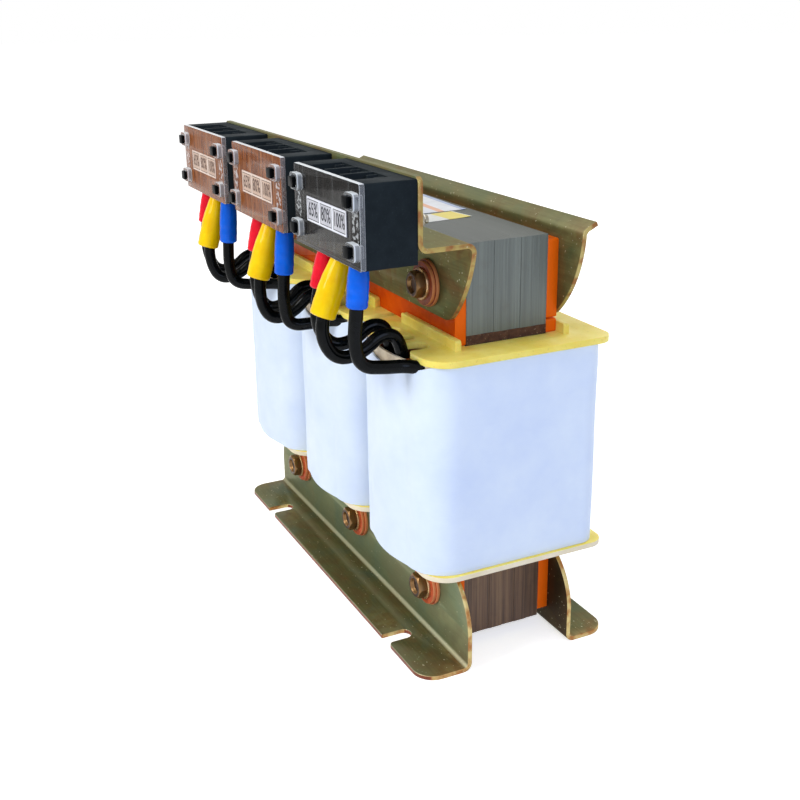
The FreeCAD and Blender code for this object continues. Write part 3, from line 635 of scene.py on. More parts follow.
@dataclass(frozen=True)
class ClearPlate(Finish):
    """Injection-moulded clear polycarbonate, hazed, with painted highlights on edges and rims.

    The plate shows the dark insides through a thin film, its rounded edges gather
    light, and a stippled band about 7 mm wide stands along each short side, with
    crumbs about 2 mm apart. The film has upright streaks about 3 mm wide, and the
    walls between the poles show through it as faint ribs.

    The lengths are in metres, as the place is: centre is the block's X and middle its
    Z, everything in front of tab_front is a looped tab, and each band lies band_off
    beside the centre, band_half to each side of that and band_rise up and down.
    """

    tint: str
    streak: str
    haze: float
    centre: float
    rib: str = "#5C5E60"
    # Colour of the painted highlights and of the stippled crumbs.
    bright: str = "#EEF3F8"
    middle: float = 0.2487
    pole_pitch: float = 0.0189
    tab_front: float = -0.0926
    band_off: float = 0.0352
    band_half: float = 0.0034
    band_rise: float = 0.0078

    def paint(
        self, tree: bpy.types.NodeTree, shader: bpy.types.Node, place: bpy.types.NodeSocket
    ) -> None:
        """Film with upright streaks, painted highlights on edges and walls, and stippled bands.

        Args:
            tree: The material's node tree.
            shader: Its Principled shader.
            place: Object coordinates in metres.
        """
        normal = add(
            tree, "ShaderNodeSeparateXYZ", {0: add(tree, "ShaderNodeTexCoord").outputs["Normal"]}
        )
        front = add(tree, "ShaderNodeMath", {0: normal.outputs[1]}, operation="ABSOLUTE")
        # Rounded edges gather light; square walls keep a quarter of it.
        turning = add(
            tree, "ShaderNodeMapRange", {0: front.outputs[0], 1: 0.985, 2: 0.9, 3: 0.0, 4: 1.0}
        )
        leaving = add(
            tree, "ShaderNodeMapRange", {0: front.outputs[0], 1: 0.04, 2: 0.3, 3: 0.24, 4: 1.0}
        )
        turned = add(
            tree,
            "ShaderNodeMath",
            {0: turning.outputs[0], 1: leaving.outputs[0]},
            operation="MULTIPLY",
        )
        at = add(tree, "ShaderNodeSeparateXYZ", {0: place})
        # The looped tabs stand in front of the plate; their walls take a painted highlight.
        raised = add(
            tree,
            "ShaderNodeMapRange",
            {0: at.outputs[1], 1: self.tab_front, 2: self.tab_front - 0.0006, 3: 0.0, 4: 1.0},
        )
        facing = add(
            tree, "ShaderNodeMapRange", {0: front.outputs[0], 1: 0.85, 2: 0.97, 3: 0.86, 4: 0.17}
        )
        tab_wall_highlight = add(
            tree,
            "ShaderNodeMath",
            {0: raised.outputs[0], 1: facing.outputs[0]},
            operation="MULTIPLY",
        )
        edge = add(
            tree, "ShaderNodeMath", {0: turned.outputs[0], 1: tab_wall_highlight.outputs[0]}, operation="MAXIMUM"
        )
        # Stippled bands: inside both limits, and on the crumbs.
        off = add(tree, "ShaderNodeMath", {0: at.outputs[0], 1: self.centre}, operation="SUBTRACT")
        across = add(tree, "ShaderNodeMath", {0: off.outputs[0]}, operation="ABSOLUTE")
        band = add(
            tree,
            "ShaderNodeMath",
            {0: across.outputs[0], 1: self.band_off, 2: self.band_half},
            operation="COMPARE",
        )
        rise = add(
            tree,
            "ShaderNodeMath",
            {0: at.outputs[2], 1: self.middle, 2: self.band_rise},
            operation="COMPARE",
        )
        crumbs = add(tree, "ShaderNodeTexNoise", {"Vector": place, "Scale": 520.0, "Detail": 2.0})
        crumb = add(
            tree, "ShaderNodeMapRange", {0: crumbs.outputs[0], 1: 0.5, 2: 0.58, 3: 0.0, 4: 0.5}
        )
        inside = add(
            tree, "ShaderNodeMath", {0: band.outputs[0], 1: rise.outputs[0]}, operation="MULTIPLY"
        )
        stipple = add(
            tree,
            "ShaderNodeMath",
            {0: inside.outputs[0], 1: crumb.outputs[0]},
            operation="MULTIPLY",
        )
        # The film with its upright streaks, and the ribs seen through it.
        upright = add(
            tree, "ShaderNodeVectorMath", {0: place, 1: (330.0, 330.0, 60.0)}, operation="MULTIPLY"
        )
        smear = add(
            tree,
            "ShaderNodeTexNoise",
            {"Vector": upright.outputs[0], "Scale": 1.0, "Detail": 4.0, "Roughness": 0.7},
        )
        film = add(
            tree,
            "ShaderNodeMapRange",
            {0: smear.outputs[0], 1: 0.3, 2: 0.7, 3: self.haze * 0.86, 4: self.haze},
        )
        tones = add(
            tree,
            "ShaderNodeValToRGB",
            {0: smear.outputs[0]},
            stops=((0.38, self.streak), (0.62, self.tint)),
        )
        shifted = add(
            tree,
            "ShaderNodeMath",
            {0: across.outputs[0], 1: self.pole_pitch / 2},
            operation="SUBTRACT",
        )
        beside = add(
            tree,
            "ShaderNodeMath",
            {0: shifted.outputs[0], 1: self.pole_pitch / 2},
            operation="PINGPONG",
        )
        ribs = add(
            tree, "ShaderNodeMapRange", {0: beside.outputs[0], 1: 0.0007, 2: 0.0003, 3: 0.0, 4: 0.6}
        )
        ribbed = add(
            tree,
            "ShaderNodeMix",
            {0: ribs.outputs[0], 6: tones.outputs[0], 7: linear(self.rib)},
            data_type="RGBA",
        )
        # Painted highlight on upper and side walls, and the strongest of all veils.
        crest = add(
            tree, "ShaderNodeMapRange", {0: normal.outputs[2], 1: 0.55, 2: 0.9, 3: 0.0, 4: 0.92}
        )
        aside = add(tree, "ShaderNodeMath", {0: normal.outputs[0]}, operation="ABSOLUTE")
        side_highlight = add(
            tree, "ShaderNodeMapRange", {0: aside.outputs[0], 1: 0.55, 2: 0.9, 3: 0.0, 4: 0.42}
        )
        walled = add(
            tree, "ShaderNodeMath", {0: crest.outputs[0], 1: side_highlight.outputs[0]}, operation="MAXIMUM"
        )
        marked = add(
            tree, "ShaderNodeMath", {0: edge.outputs[0], 1: stipple.outputs[0]}, operation="MAXIMUM"
        )
        pale = add(
            tree,
            "ShaderNodeMath",
            {0: marked.outputs[0], 1: walled.outputs[0]},
            operation="MAXIMUM",
        )
        veil = add(
            tree, "ShaderNodeMath", {0: film.outputs[0], 1: pale.outputs[0]}, operation="MAXIMUM"
        )
        wall = add(tree, "ShaderNodeMath", {0: front.outputs[0], 1: 0.5}, operation="LESS_THAN")
        walls = add(
            tree,
            "ShaderNodeMix",
            {0: wall.outputs[0], 2: veil.outputs[0], 3: pale.outputs[0]},
            data_type="FLOAT",
        )
        colour = add(
            tree,
            "ShaderNodeMix",
            {0: pale.outputs[0], 6: ribbed.outputs[2], 7: linear(self.bright)},
            data_type="RGBA",
        )
        tree.links.new(colour.outputs[2], shader.inputs["Base Color"])
        tree.links.new(walls.outputs[0], shader.inputs["Alpha"])
        shader.inputs["Roughness"].default_value = 0.18
        shader.inputs["IOR"].default_value = 1.58
        shader.inputs["Specular IOR Level"].default_value = 0.04


@dataclass(frozen=True)
class PrintedSticker(Finish):
    """Coated paper sticker with plain fields of colour.

    Bands are (lower edge, hex) along the sticker's own UV height. Soiling is about
    6 mm across.
    """

    bands: tuple[tuple[float, str], ...]

    def paint(
        self, tree: bpy.types.NodeTree, shader: bpy.types.Node, place: bpy.types.NodeSocket
    ) -> None:
        """Plain fields of colour across the sticker, slightly soiled.

        Args:
            tree: The material's node tree.
            shader: Its Principled shader.
            place: Object coordinates in metres.
        """
        across = add(
            tree, "ShaderNodeSeparateXYZ", {0: add(tree, "ShaderNodeTexCoord").outputs["UV"]}
        )
        fields = add(tree, "ShaderNodeValToRGB", {0: across.outputs[1]}, stops=self.bands)
        fields.color_ramp.interpolation = "CONSTANT"
        soil = add(tree, "ShaderNodeTexNoise", {"Vector": place, "Scale": 160.0, "Detail": 3.0})
        shade = add(
            tree, "ShaderNodeMapRange", {0: soil.outputs[0], 1: 0.3, 2: 0.7, 3: 0.9, 4: 1.02}
        )
        colour = add(
            tree,
            "ShaderNodeVectorMath",
            {0: fields.outputs[0], "Scale": shade.outputs[0]},
            operation="SCALE",
        )
        tree.links.new(colour.outputs[0], shader.inputs["Base Color"])
        shader.inputs["Roughness"].default_value = 0.32


@dataclass(frozen=True)
class WrapTape(Finish):
    """White polyester-faced wrap: satin, faintly lavender, with soft creases.

    The cloudy tone is about 42 mm across, the creases run round the coil, 9 mm apart,
    and the tooth is 0.6 mm.
    """

    light: str = "#E0ECFD"
    shade: str = "#D2E0FA"

    def paint(
        self, tree: bpy.types.NodeTree, shader: bpy.types.Node, place: bpy.types.NodeSocket
    ) -> None:
        """Cloudy tone, long shallow creases and a fine tooth.

        Args:
            tree: The material's node tree.
            shader: Its Principled shader.
            place: Object coordinates in metres.
        """
        cloud = add(
            tree,
            "ShaderNodeTexNoise",
            {"Vector": place, "Scale": 24.0, "Detail": 4.0, "Roughness": 0.6},
        )
        tones = add(
            tree,
            "ShaderNodeValToRGB",
            {0: cloud.outputs[0]},
            stops=((0.3, self.shade), (0.68, self.light)),
        )
        long = add(
            tree, "ShaderNodeVectorMath", {0: place, 1: (30.0, 30.0, 110.0)}, operation="MULTIPLY"
        )
        crease = add(
            tree,
            "ShaderNodeTexNoise",
            {"Vector": long.outputs[0], "Scale": 1.0, "Detail": 3.0, "Distortion": 0.6},
        )
        tooth = add(tree, "ShaderNodeTexNoise", {"Vector": place, "Scale": 1600.0, "Detail": 2.0})
        height = add(
            tree,
            "ShaderNodeMix",
            {0: 0.1, 2: crease.outputs[0], 3: tooth.outputs[0]},
            data_type="FLOAT",
        )
        bump = add(
            tree,
            "ShaderNodeBump",
            {"Strength": 0.35, "Distance": 0.0012, "Height": height.outputs[0]},
        )
        tree.links.new(tones.outputs[0], shader.inputs["Base Color"])
        tree.links.new(bump.outputs[0], shader.inputs["Normal"])
        shader.inputs["Roughness"].default_value = 0.5
        shader.inputs["Specular IOR Level"].default_value = 0.15


# Bare strip edges: dull grey, streaked along the stack, with a painted shade on the top.
UPPER_STEEL = SheetStack(
    "ground edges of electrical steel",
    dark="#606561", middle="#6A706B", light="#757B75", top="#484C47", face="#5A5E58",
    stain="#5A544A", stains=0.3,
)
# The same strip under brown varnish: deeper streaks and dark drips.
LOWER_STEEL = SheetStack(
    "varnished edges of electrical steel",
    dark="#36251A", middle="#594130", light="#6E563F", top="#5A4A3C", face="#4E4238",
    stain="#38281F", stains=0.45,
)
# Olive sheet of the front clamp and its rail; its shelf is painted paler, a painted
# light on faces that look up.
RAIL_ZINC = PassivatedZinc(
    "yellow passivated zinc sheet",
    base="#6C6640", green="#5F6844", brown="#6E4E2E", edge="#A8955A", edge_warm="#90603C",
    levels=0.36,
)
# The rear clamp: duller, with hardly any painted sheen on its lip.
REAR_ZINC = PassivatedZinc(
    "yellow passivated zinc sheet, rear",
    base="#6C6842", green="#5C6442", brown="#6A5030", edge="#B0A068", edge_warm="#90643C",
    seed=0.57, levels=0.085, bend_highlight_share=0.14,
)
# The front foot: its front face painted lighter and greener, a painted light, and a
# painted highlight along its bend.
FOOT_ZINC = PassivatedZinc(
    "yellow passivated zinc sheet, foot",
    base="#5F5E3C", green="#566250", brown="#644A2C", edge="#CDB87E", edge_warm="#A87444",
    seed=0.31, levels=0.06, front_light_and_shade=0.42, bend_highlight_share=0.55,
)
# The foot's long sheared edge: rust-brown steel with gold left in it.
FOOT_EDGE = Mottled(
    "sheared edge of passivated zinc sheet",
    base="#8A3C10", other="#602808", speck="#B08848", mottle_mm=4.0, grain_mm=0.8,
    roughness=0.42, specks=0.4, speck_mm=2.0, metallic=0.15,
)
# The rear foot's inner face is painted dark brown, a painted shade between the feet.
SHADED_REAR_FOOT_ZINC = PassivatedZinc(
    "yellow passivated zinc sheet, varnished on its inner face",
    base="#5E5C3C", green="#56603E", brown="#705636", edge="#CDB87E", edge_warm="#A87444",
    seed=0.31, levels=0.0, upright="#33221A", front_light_and_shade=0.85, bend_highlight_share=0.3,
)
# Matt orange board, woven finely; its ends and top are painted brighter, a painted light.
FIBRE_STRIP = Mottled(
    "orange glass fibre board",
    base="#D45000", other="#C24000", speck="#8E3008", mottle_mm=9.0, grain_mm=0.6,
    roughness=0.42, specks=0.2, speck_mm=3.0, bump=0.2, specular=0.1, rim="#F46A0C",
)
# Dark brown board with a torn, pale-flecked edge.
GAP_BOARD = Mottled(
    "pressed insulating board",
    base="#5E3E2E", other="#3A221A", speck="#A88A70", mottle_mm=3.0, grain_mm=0.7,
    roughness=0.6, specks=0.7, speck_mm=1.5, bump=0.8,
)
# Passivated plating turned brown by heat and varnish, with a painted highlight on its edges.
BOLT_ZINC = Mottled(
    "yellow zinc plated bolts",
    base="#402A1A", other="#2C1A0E", speck="#A07C4C", mottle_mm=4.0, grain_mm=0.5,
    roughness=0.34, specks=0.35, speck_mm=2.0, metallic=0.8, bump=0.15, rim="#8C6A44",
)
# Gold passivated washers; the turned edge is painted brighter, a painted highlight.
WASHER_ZINC = Mottled(
    "zinc plated washers",
    base="#A0804E", other="#70492C", speck="#D8C088", mottle_mm=5.0, grain_mm=0.4,
    roughness=0.3, specks=0.35, speck_mm=2.0, metallic=0.85, rim="#D8B488",
)
# Grey plated spring steel, hidden under the nuts.
SPRING_STEEL = Mottled(
    "zinc plated spring steel",
    base="#8A8678", other="#66604E", speck="#B8B29A", mottle_mm=4.0, grain_mm=0.4,
    roughness=0.32, specks=0.2, metallic=0.85,
)
# Red-brown fibre, rough; the punched edge is painted paler, a painted highlight.
FIBRE_WASHER = Mottled(
    "vulcanised fibre washers",
    base="#9A4420", other="#6E2A12", speck="#C06830", mottle_mm=5.0, grain_mm=0.5,
    roughness=0.45, specks=0.3, speck_mm=2.5, bump=0.4, rim="#D68A56",
)
# The feet's washers were less stained and stay orange; their edge is painted paler, a
# painted highlight.
LOW_WASHER = Mottled(
    "orange fibre washers",
    base="#C85A30", other="#A84220", speck="#E08858", mottle_mm=5.0, grain_mm=0.5,
    roughness=0.45, specks=0.3, speck_mm=2.5, bump=0.4, rim="#EE9C6C",
)
# Plain brown tube, hidden in the bolt holes.
SLEEVE_TUBE = Mottled(
    "insulating sleeve",
    base="#A86A34", other="#8A4E20", speck="#C89058", mottle_mm=6.0, grain_mm=0.6,
    roughness=0.5,
)
# Pale yellow nylon, a little clouded, which lets some light into it.
BOBBIN = Mottled(
    "pale moulded nylon",
    base="#FBE87A", other="#F0D85A", speck="#B8A046", mottle_mm=16.0, grain_mm=0.9,
    roughness=0.38, specks=0.22, speck_mm=2.2, bump=0.1, specular=0.3, soft=0.2,
)
# The lower flange's edge, painted cream: a painted reflection of the pale floor.
BOBBIN_LIT_EDGE = Mottled(
    "pale moulded nylon, edge painted light",
    base="#F2E6CC", other="#E6D8B8", speck="#C8B078", mottle_mm=16.0, grain_mm=0.9,
    roughness=0.38, specks=0.22, speck_mm=2.2,
)
# Brown enamel over bright copper.
COPPER = Mottled(
    "enamelled copper winding",
    base="#9A4A20", other="#7A3414", speck="#C07840", mottle_mm=3.0, grain_mm=0.8,
    roughness=0.35, metallic=0.5,
)
# Soft matt paper, seen at the wrap's top edge.
CREAM_PAPER = Mottled(
    "cream insulating paper",
    base="#E6D8C0", other="#D2BFA2", speck="#B89E7C", mottle_mm=6.0, grain_mm=0.4,
    roughness=0.7, specks=0.3, bump=0.3,
)
# Black moulding with faint grey streaks and little gloss.
BLACK_BODY = Mottled(
    "black moulded phenolic",
    base="#22292D", other="#1A2024", speck="#323A3F", mottle_mm=14.0, grain_mm=0.5,
    roughness=0.58, specks=0.3, speck_mm=1.0, bump=0.12, specular=0.03,
)
# Deeper black, smoother than the body.
CATCH_BLACK = Mottled(
    "black moulded catch",
    base="#0A0C0E", other="#060708", speck="#181B1D", mottle_mm=8.0, grain_mm=0.5,
    roughness=0.35, specular=0.03,
)
# Dulled brass, seen faintly through the covers.
BRASS = Mottled(
    "brass contact bar",
    base="#B08A3C", other="#96702C", speck="#D8B868", mottle_mm=5.0, grain_mm=0.4,
    roughness=0.3, metallic=0.9,
)
# Bright plated screws.
PLATED = Mottled(
    "nickel plated screw",
    base="#A8A294", other="#8C8678", speck="#D0CABA", mottle_mm=4.0, grain_mm=0.4,
    roughness=0.28, metallic=0.9,
)
# Off-white card round the printed fields.
CARD = Mottled(
    "marking card",
    base="#E4E6EE", other="#D8DAE6", speck="#B8BEC4", mottle_mm=8.0, grain_mm=0.5,
    roughness=0.5, specks=0.2, specular=0.2,
)
# Greyer field inside each frame.
FIELD = Mottled(
    "marking field",
    base="#C4C4CC", other="#B4B4BE", speck="#8E8E98", mottle_mm=5.0, grain_mm=0.5,
    roughness=0.5, specks=0.3, specular=0.2,
)
# The same card, field and ink where the cover carries brown film.
BROWN_CARD = Mottled(
    "marking card behind brown film",
    base="#E0CEC4", other="#D2BEB2", speck="#B89C8C", mottle_mm=8.0, grain_mm=0.5,
    roughness=0.5, specks=0.2,
)
BROWN_FIELD = Mottled(
    "marking field behind brown film",
    base="#C8AE9E", other="#BCA08E", speck="#A88874", mottle_mm=5.0, grain_mm=0.5,
    roughness=0.5, specks=0.3,
)
BROWN_INK = Mottled(
    "marking ink behind brown film",
    base="#54382C", other="#442C22", speck="#6A4C3C", mottle_mm=4.0, grain_mm=0.5,
    roughness=0.5,
)
# Printed lines and numbers, not quite black.
INK = Mottled(
    "marking ink",
    base="#30323A", other="#24262C", speck="#484A52", mottle_mm=4.0, grain_mm=0.5,
    roughness=0.5, specular=0.2,
)
# Dull grey tin on copper.
TIN = Mottled(
    "tinned copper lug",
    base="#B4B2AC", other="#96948E", speck="#D6D4CE", mottle_mm=4.0, grain_mm=0.4,
    roughness=0.32, metallic=0.9,
)
# Clear plates over dark insides; the two farther ones keep their brown film.
COVERS = (
    ClearPlate(
        "clear cover with brown film, far",
        tint="#955A32", streak="#703C1C", haze=0.95, centre=BLOCKS[0], rib="#A87850",
    ),
    ClearPlate(
        "clear cover with brown film, middle",
        tint="#92562E", streak="#6A381A", haze=0.95, centre=BLOCKS[1], rib="#A87850",
    ),
    ClearPlate(
        "clear polycarbonate cover",
        tint="#282523", streak="#191817", haze=0.84, centre=BLOCKS[2],
    ),
)
SLEEVING = ShrunkSleeve("black varnished sleeving")
WRAP = WrapTape("white coil wrap")
# Plain pale fields on coated paper, a little soiled.
WIDE_STICKER = PrintedSticker(
    "blank white and blue sticker",
    ((0.0, "#E9ECF4"), (0.42, "#F0B088"), (0.56, "#EEF0F6"), (0.9, "#B8C4E4")),
)
SMALL_STICKER = PrintedSticker(
    "blank white and yellow sticker", ((0.0, "#EFEFE8"), (0.5, "#F2DC4C"), (0.97, "#EFEFE8"))
)


# Modelling helpers


def only(obj: bpy.types.Object | None = None) -> None:
    """Leaves edit mode and selects the given object alone, or nothing.

    Args:
        obj: The object to select and make active, if any.
    """
    if bpy.context.object and bpy.context.object.mode != "OBJECT":
        bpy.ops.object.mode_set(mode="OBJECT")
    bpy.ops.object.select_all(action="DESELECT")
    if obj:
        obj.select_set(True)
        bpy.context.view_layer.objects.active = obj


def named(name: str) -> bpy.types.Object:
    """Names the active object and its mesh.

    Args:
        name: The piece's name.

    Returns:
        The active object.
    """
    obj = bpy.context.active_object
    obj.name = name
    obj.data.name = name
    return obj


def linked(name: str, data: bpy.types.ID) -> bpy.types.Object:
    """Puts a new object of a mesh, curve, lamp or camera into the scene.

    Args:
        name: The object's name.
        data: What it shows.

    Returns:
        The new object.
    """
    obj = bpy.data.objects.new(name, data)
    bpy.context.scene.collection.objects.link(obj)
    return obj


def pick(obj: bpy.types.Object, test: FaceTest) -> None:
    """Selects in edit mode the faces that pass a test on their place or normal.

    Args:
        obj: The object, made active here.
        test: Whether a face is taken.
    """
    only(obj)
    for vertex in obj.data.vertices:
        vertex.select = False
    for edge in obj.data.edges:
        edge.select = False
    for face in obj.data.polygons:
        face.select = test(face)
    bpy.ops.object.mode_set(mode="EDIT")
    bpy.ops.mesh.select_mode(type="FACE")


def settle(obj: bpy.types.Object) -> bpy.types.Object:
    """Puts an object's place, turn and scale into its mesh.

    Args:
        obj: The object.

    Returns:
        The same object.
    """
    only(obj)
    bpy.ops.object.transform_apply(location=True, rotation=True, scale=True)
    return obj


def outward(obj: bpy.types.Object) -> None:
    """Turns all faces of a closed or single-walled mesh the same way, outwards.

    Args:
        obj: The object.
    """
    only(obj)
    bpy.ops.object.mode_set(mode="EDIT")
    bpy.ops.mesh.select_all(action="SELECT")
    bpy.ops.mesh.normals_make_consistent(inside=False)
    bpy.ops.object.mode_set(mode="OBJECT")


def bevelled(obj: bpy.types.Object, width_mm: float, segments: int = 2) -> bpy.types.Object:
    """Rounds an object's hard edges and smooths it by angle.

    Args:
        obj: The piece.
        width_mm: Width of the rounding.
        segments: Steps across it.

    Returns:
        The same piece.
    """
    only(obj)
    soft = obj.modifiers.new("rounding", "BEVEL")
    soft.width = width_mm * MM
    soft.segments = segments
    soft.limit_method = "ANGLE"
    soft.angle_limit = math.radians(38)
    soft.use_clamp_overlap = True
    bpy.ops.object.modifier_apply(modifier=soft.name)
    bpy.ops.object.shade_smooth_by_angle(angle=math.radians(35))
    return obj


def from_node(node: str, name: str, width_mm: float, segments: int = 2) -> bpy.types.Object:
    """A copy of a CAD node with merged faces and rounded edges, standing for it.

    Args:
        node: The CAD node.
        name: The piece's name.
        width_mm: Width of the edge rounding.
        segments: Steps across it.

    Returns:
        The new piece, which replaces the node and rides with the part.
    """
    only(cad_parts[node])
    bpy.ops.object.duplicate(linked=False)
    obj = named(name)
    obj.parent = None
    bpy.ops.object.mode_set(mode="EDIT")
    bpy.ops.mesh.select_all(action="SELECT")
    bpy.ops.mesh.remove_doubles(threshold=0.01 * MM)
    bpy.ops.mesh.dissolve_limited(angle_limit=math.radians(0.6))
    bpy.ops.object.mode_set(mode="OBJECT")
    bevelled(obj, width_mm, segments)
    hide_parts(node)
    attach(obj, "root")
    return obj


def dress(obj: bpy.types.Object, finish: Finish) -> bpy.types.Object:
    """Gives a piece its finish.

    Args:
        obj: The piece.
        finish: Its finish.

    Returns:
        The same piece.
    """
    obj.data.materials.clear()
    obj.data.materials.append(finish.material())
    LOG.info("%s dressed in %s", obj.name, finish.name)
    return obj


def dress_faces(obj: bpy.types.Object, finish: Finish, test: FaceTest) -> None:
    """Gives some faces of a dressed piece a second finish.

    Args:
        obj: The piece.
        finish: The second finish.
        test: Whether a face takes it.
    """
    obj.data.materials.append(finish.material())
    pick(obj, test)
    obj.active_material_index = 1
    bpy.ops.object.material_slot_assign()
    only()


def dress_nodes(finish: Finish, *nodes: str) -> None:
    """Gives CAD nodes their finish."""
    for node in nodes:
        dress(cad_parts[node], finish)


def lathe(name: str, profile: Sequence[tuple[float, float]], sides: int) -> bpy.types.Object:
    """Models a round piece from a ring drawn up and scaled step by step along Z.

    Args:
        name: The piece's name.
        profile: Radius and height of each ring, in metres.
        sides: Faces round the piece.

    Returns:
        The piece, standing on Z = 0 at the origin.
    """
    only()
    radius, height = profile[0]
    bpy.ops.mesh.primitive_circle_add(vertices=sides, radius=radius, location=(0, 0, height))
    obj = settle(named(name))
    bpy.ops.object.mode_set(mode="EDIT")
    bpy.ops.mesh.select_all(action="SELECT")
    for wide, level in profile[1:]:
        bpy.ops.mesh.extrude_edges_move(
            TRANSFORM_OT_translate={"value": (0.0, 0.0, level - height)}
        )
        scale = wide / radius
        bpy.ops.transform.resize(value=(scale, scale, 1.0), center_override=(0.0, 0.0, level))
        radius, height = wide, level
    bpy.ops.object.mode_set(mode="OBJECT")
    return obj


# Sub-assemblies


@dataclass
class Core:
    """Laminated core with its air gaps."""

    def build(self) -> None:
        """Dresses the stacks and the gap boards."""
        dress_nodes(UPPER_STEEL, "upper_yoke")
        dress_nodes(LOWER_STEEL, "e_core")
        dress_nodes(GAP_BOARD, "gap_boards")


@dataclass
class SheetParts:
    """Folded clamps and feet, with the rounding of sheared and bent sheet.

    The front foot's long edge lies below edge_top, which is in millimetres too.
    """

    rounding_mm: float = 0.35
    edge_top: float = 2.3

    def on_long_edge(self, face: bpy.types.MeshPolygon) -> bool:
        """Whether a face of the front foot belongs to its long sheared edge."""
        return face.center.z < self.edge_top * MM and face.normal.y < -0.5

    def build(self) -> None:
        """Rounds the edges of each sheet part and dresses it."""
        for node, finish in (
            ("front_clamp", RAIL_ZINC),
            ("rear_clamp", REAR_ZINC),
            ("front_foot", FOOT_ZINC),
            ("rear_foot", SHADED_REAR_FOOT_ZINC),
        ):
            piece = from_node(node, f"{node}_sheet", self.rounding_mm)
            dress(piece, finish)
            if finish is FOOT_ZINC:
                dress_faces(piece, FOOT_EDGE, self.on_long_edge)


@dataclass
class Insulation:
    """Orange strips between the sheet parts and the core."""

    rounding_mm: float = 0.5

    def build(self) -> None:
        """Rounds and dresses the strips."""
        for node in ("front_strip", "rear_strip", "rear_packer", "lower_strips"):
            piece = from_node(node, f"{node}_board", self.rounding_mm)
            dress(piece, FIBRE_STRIP)


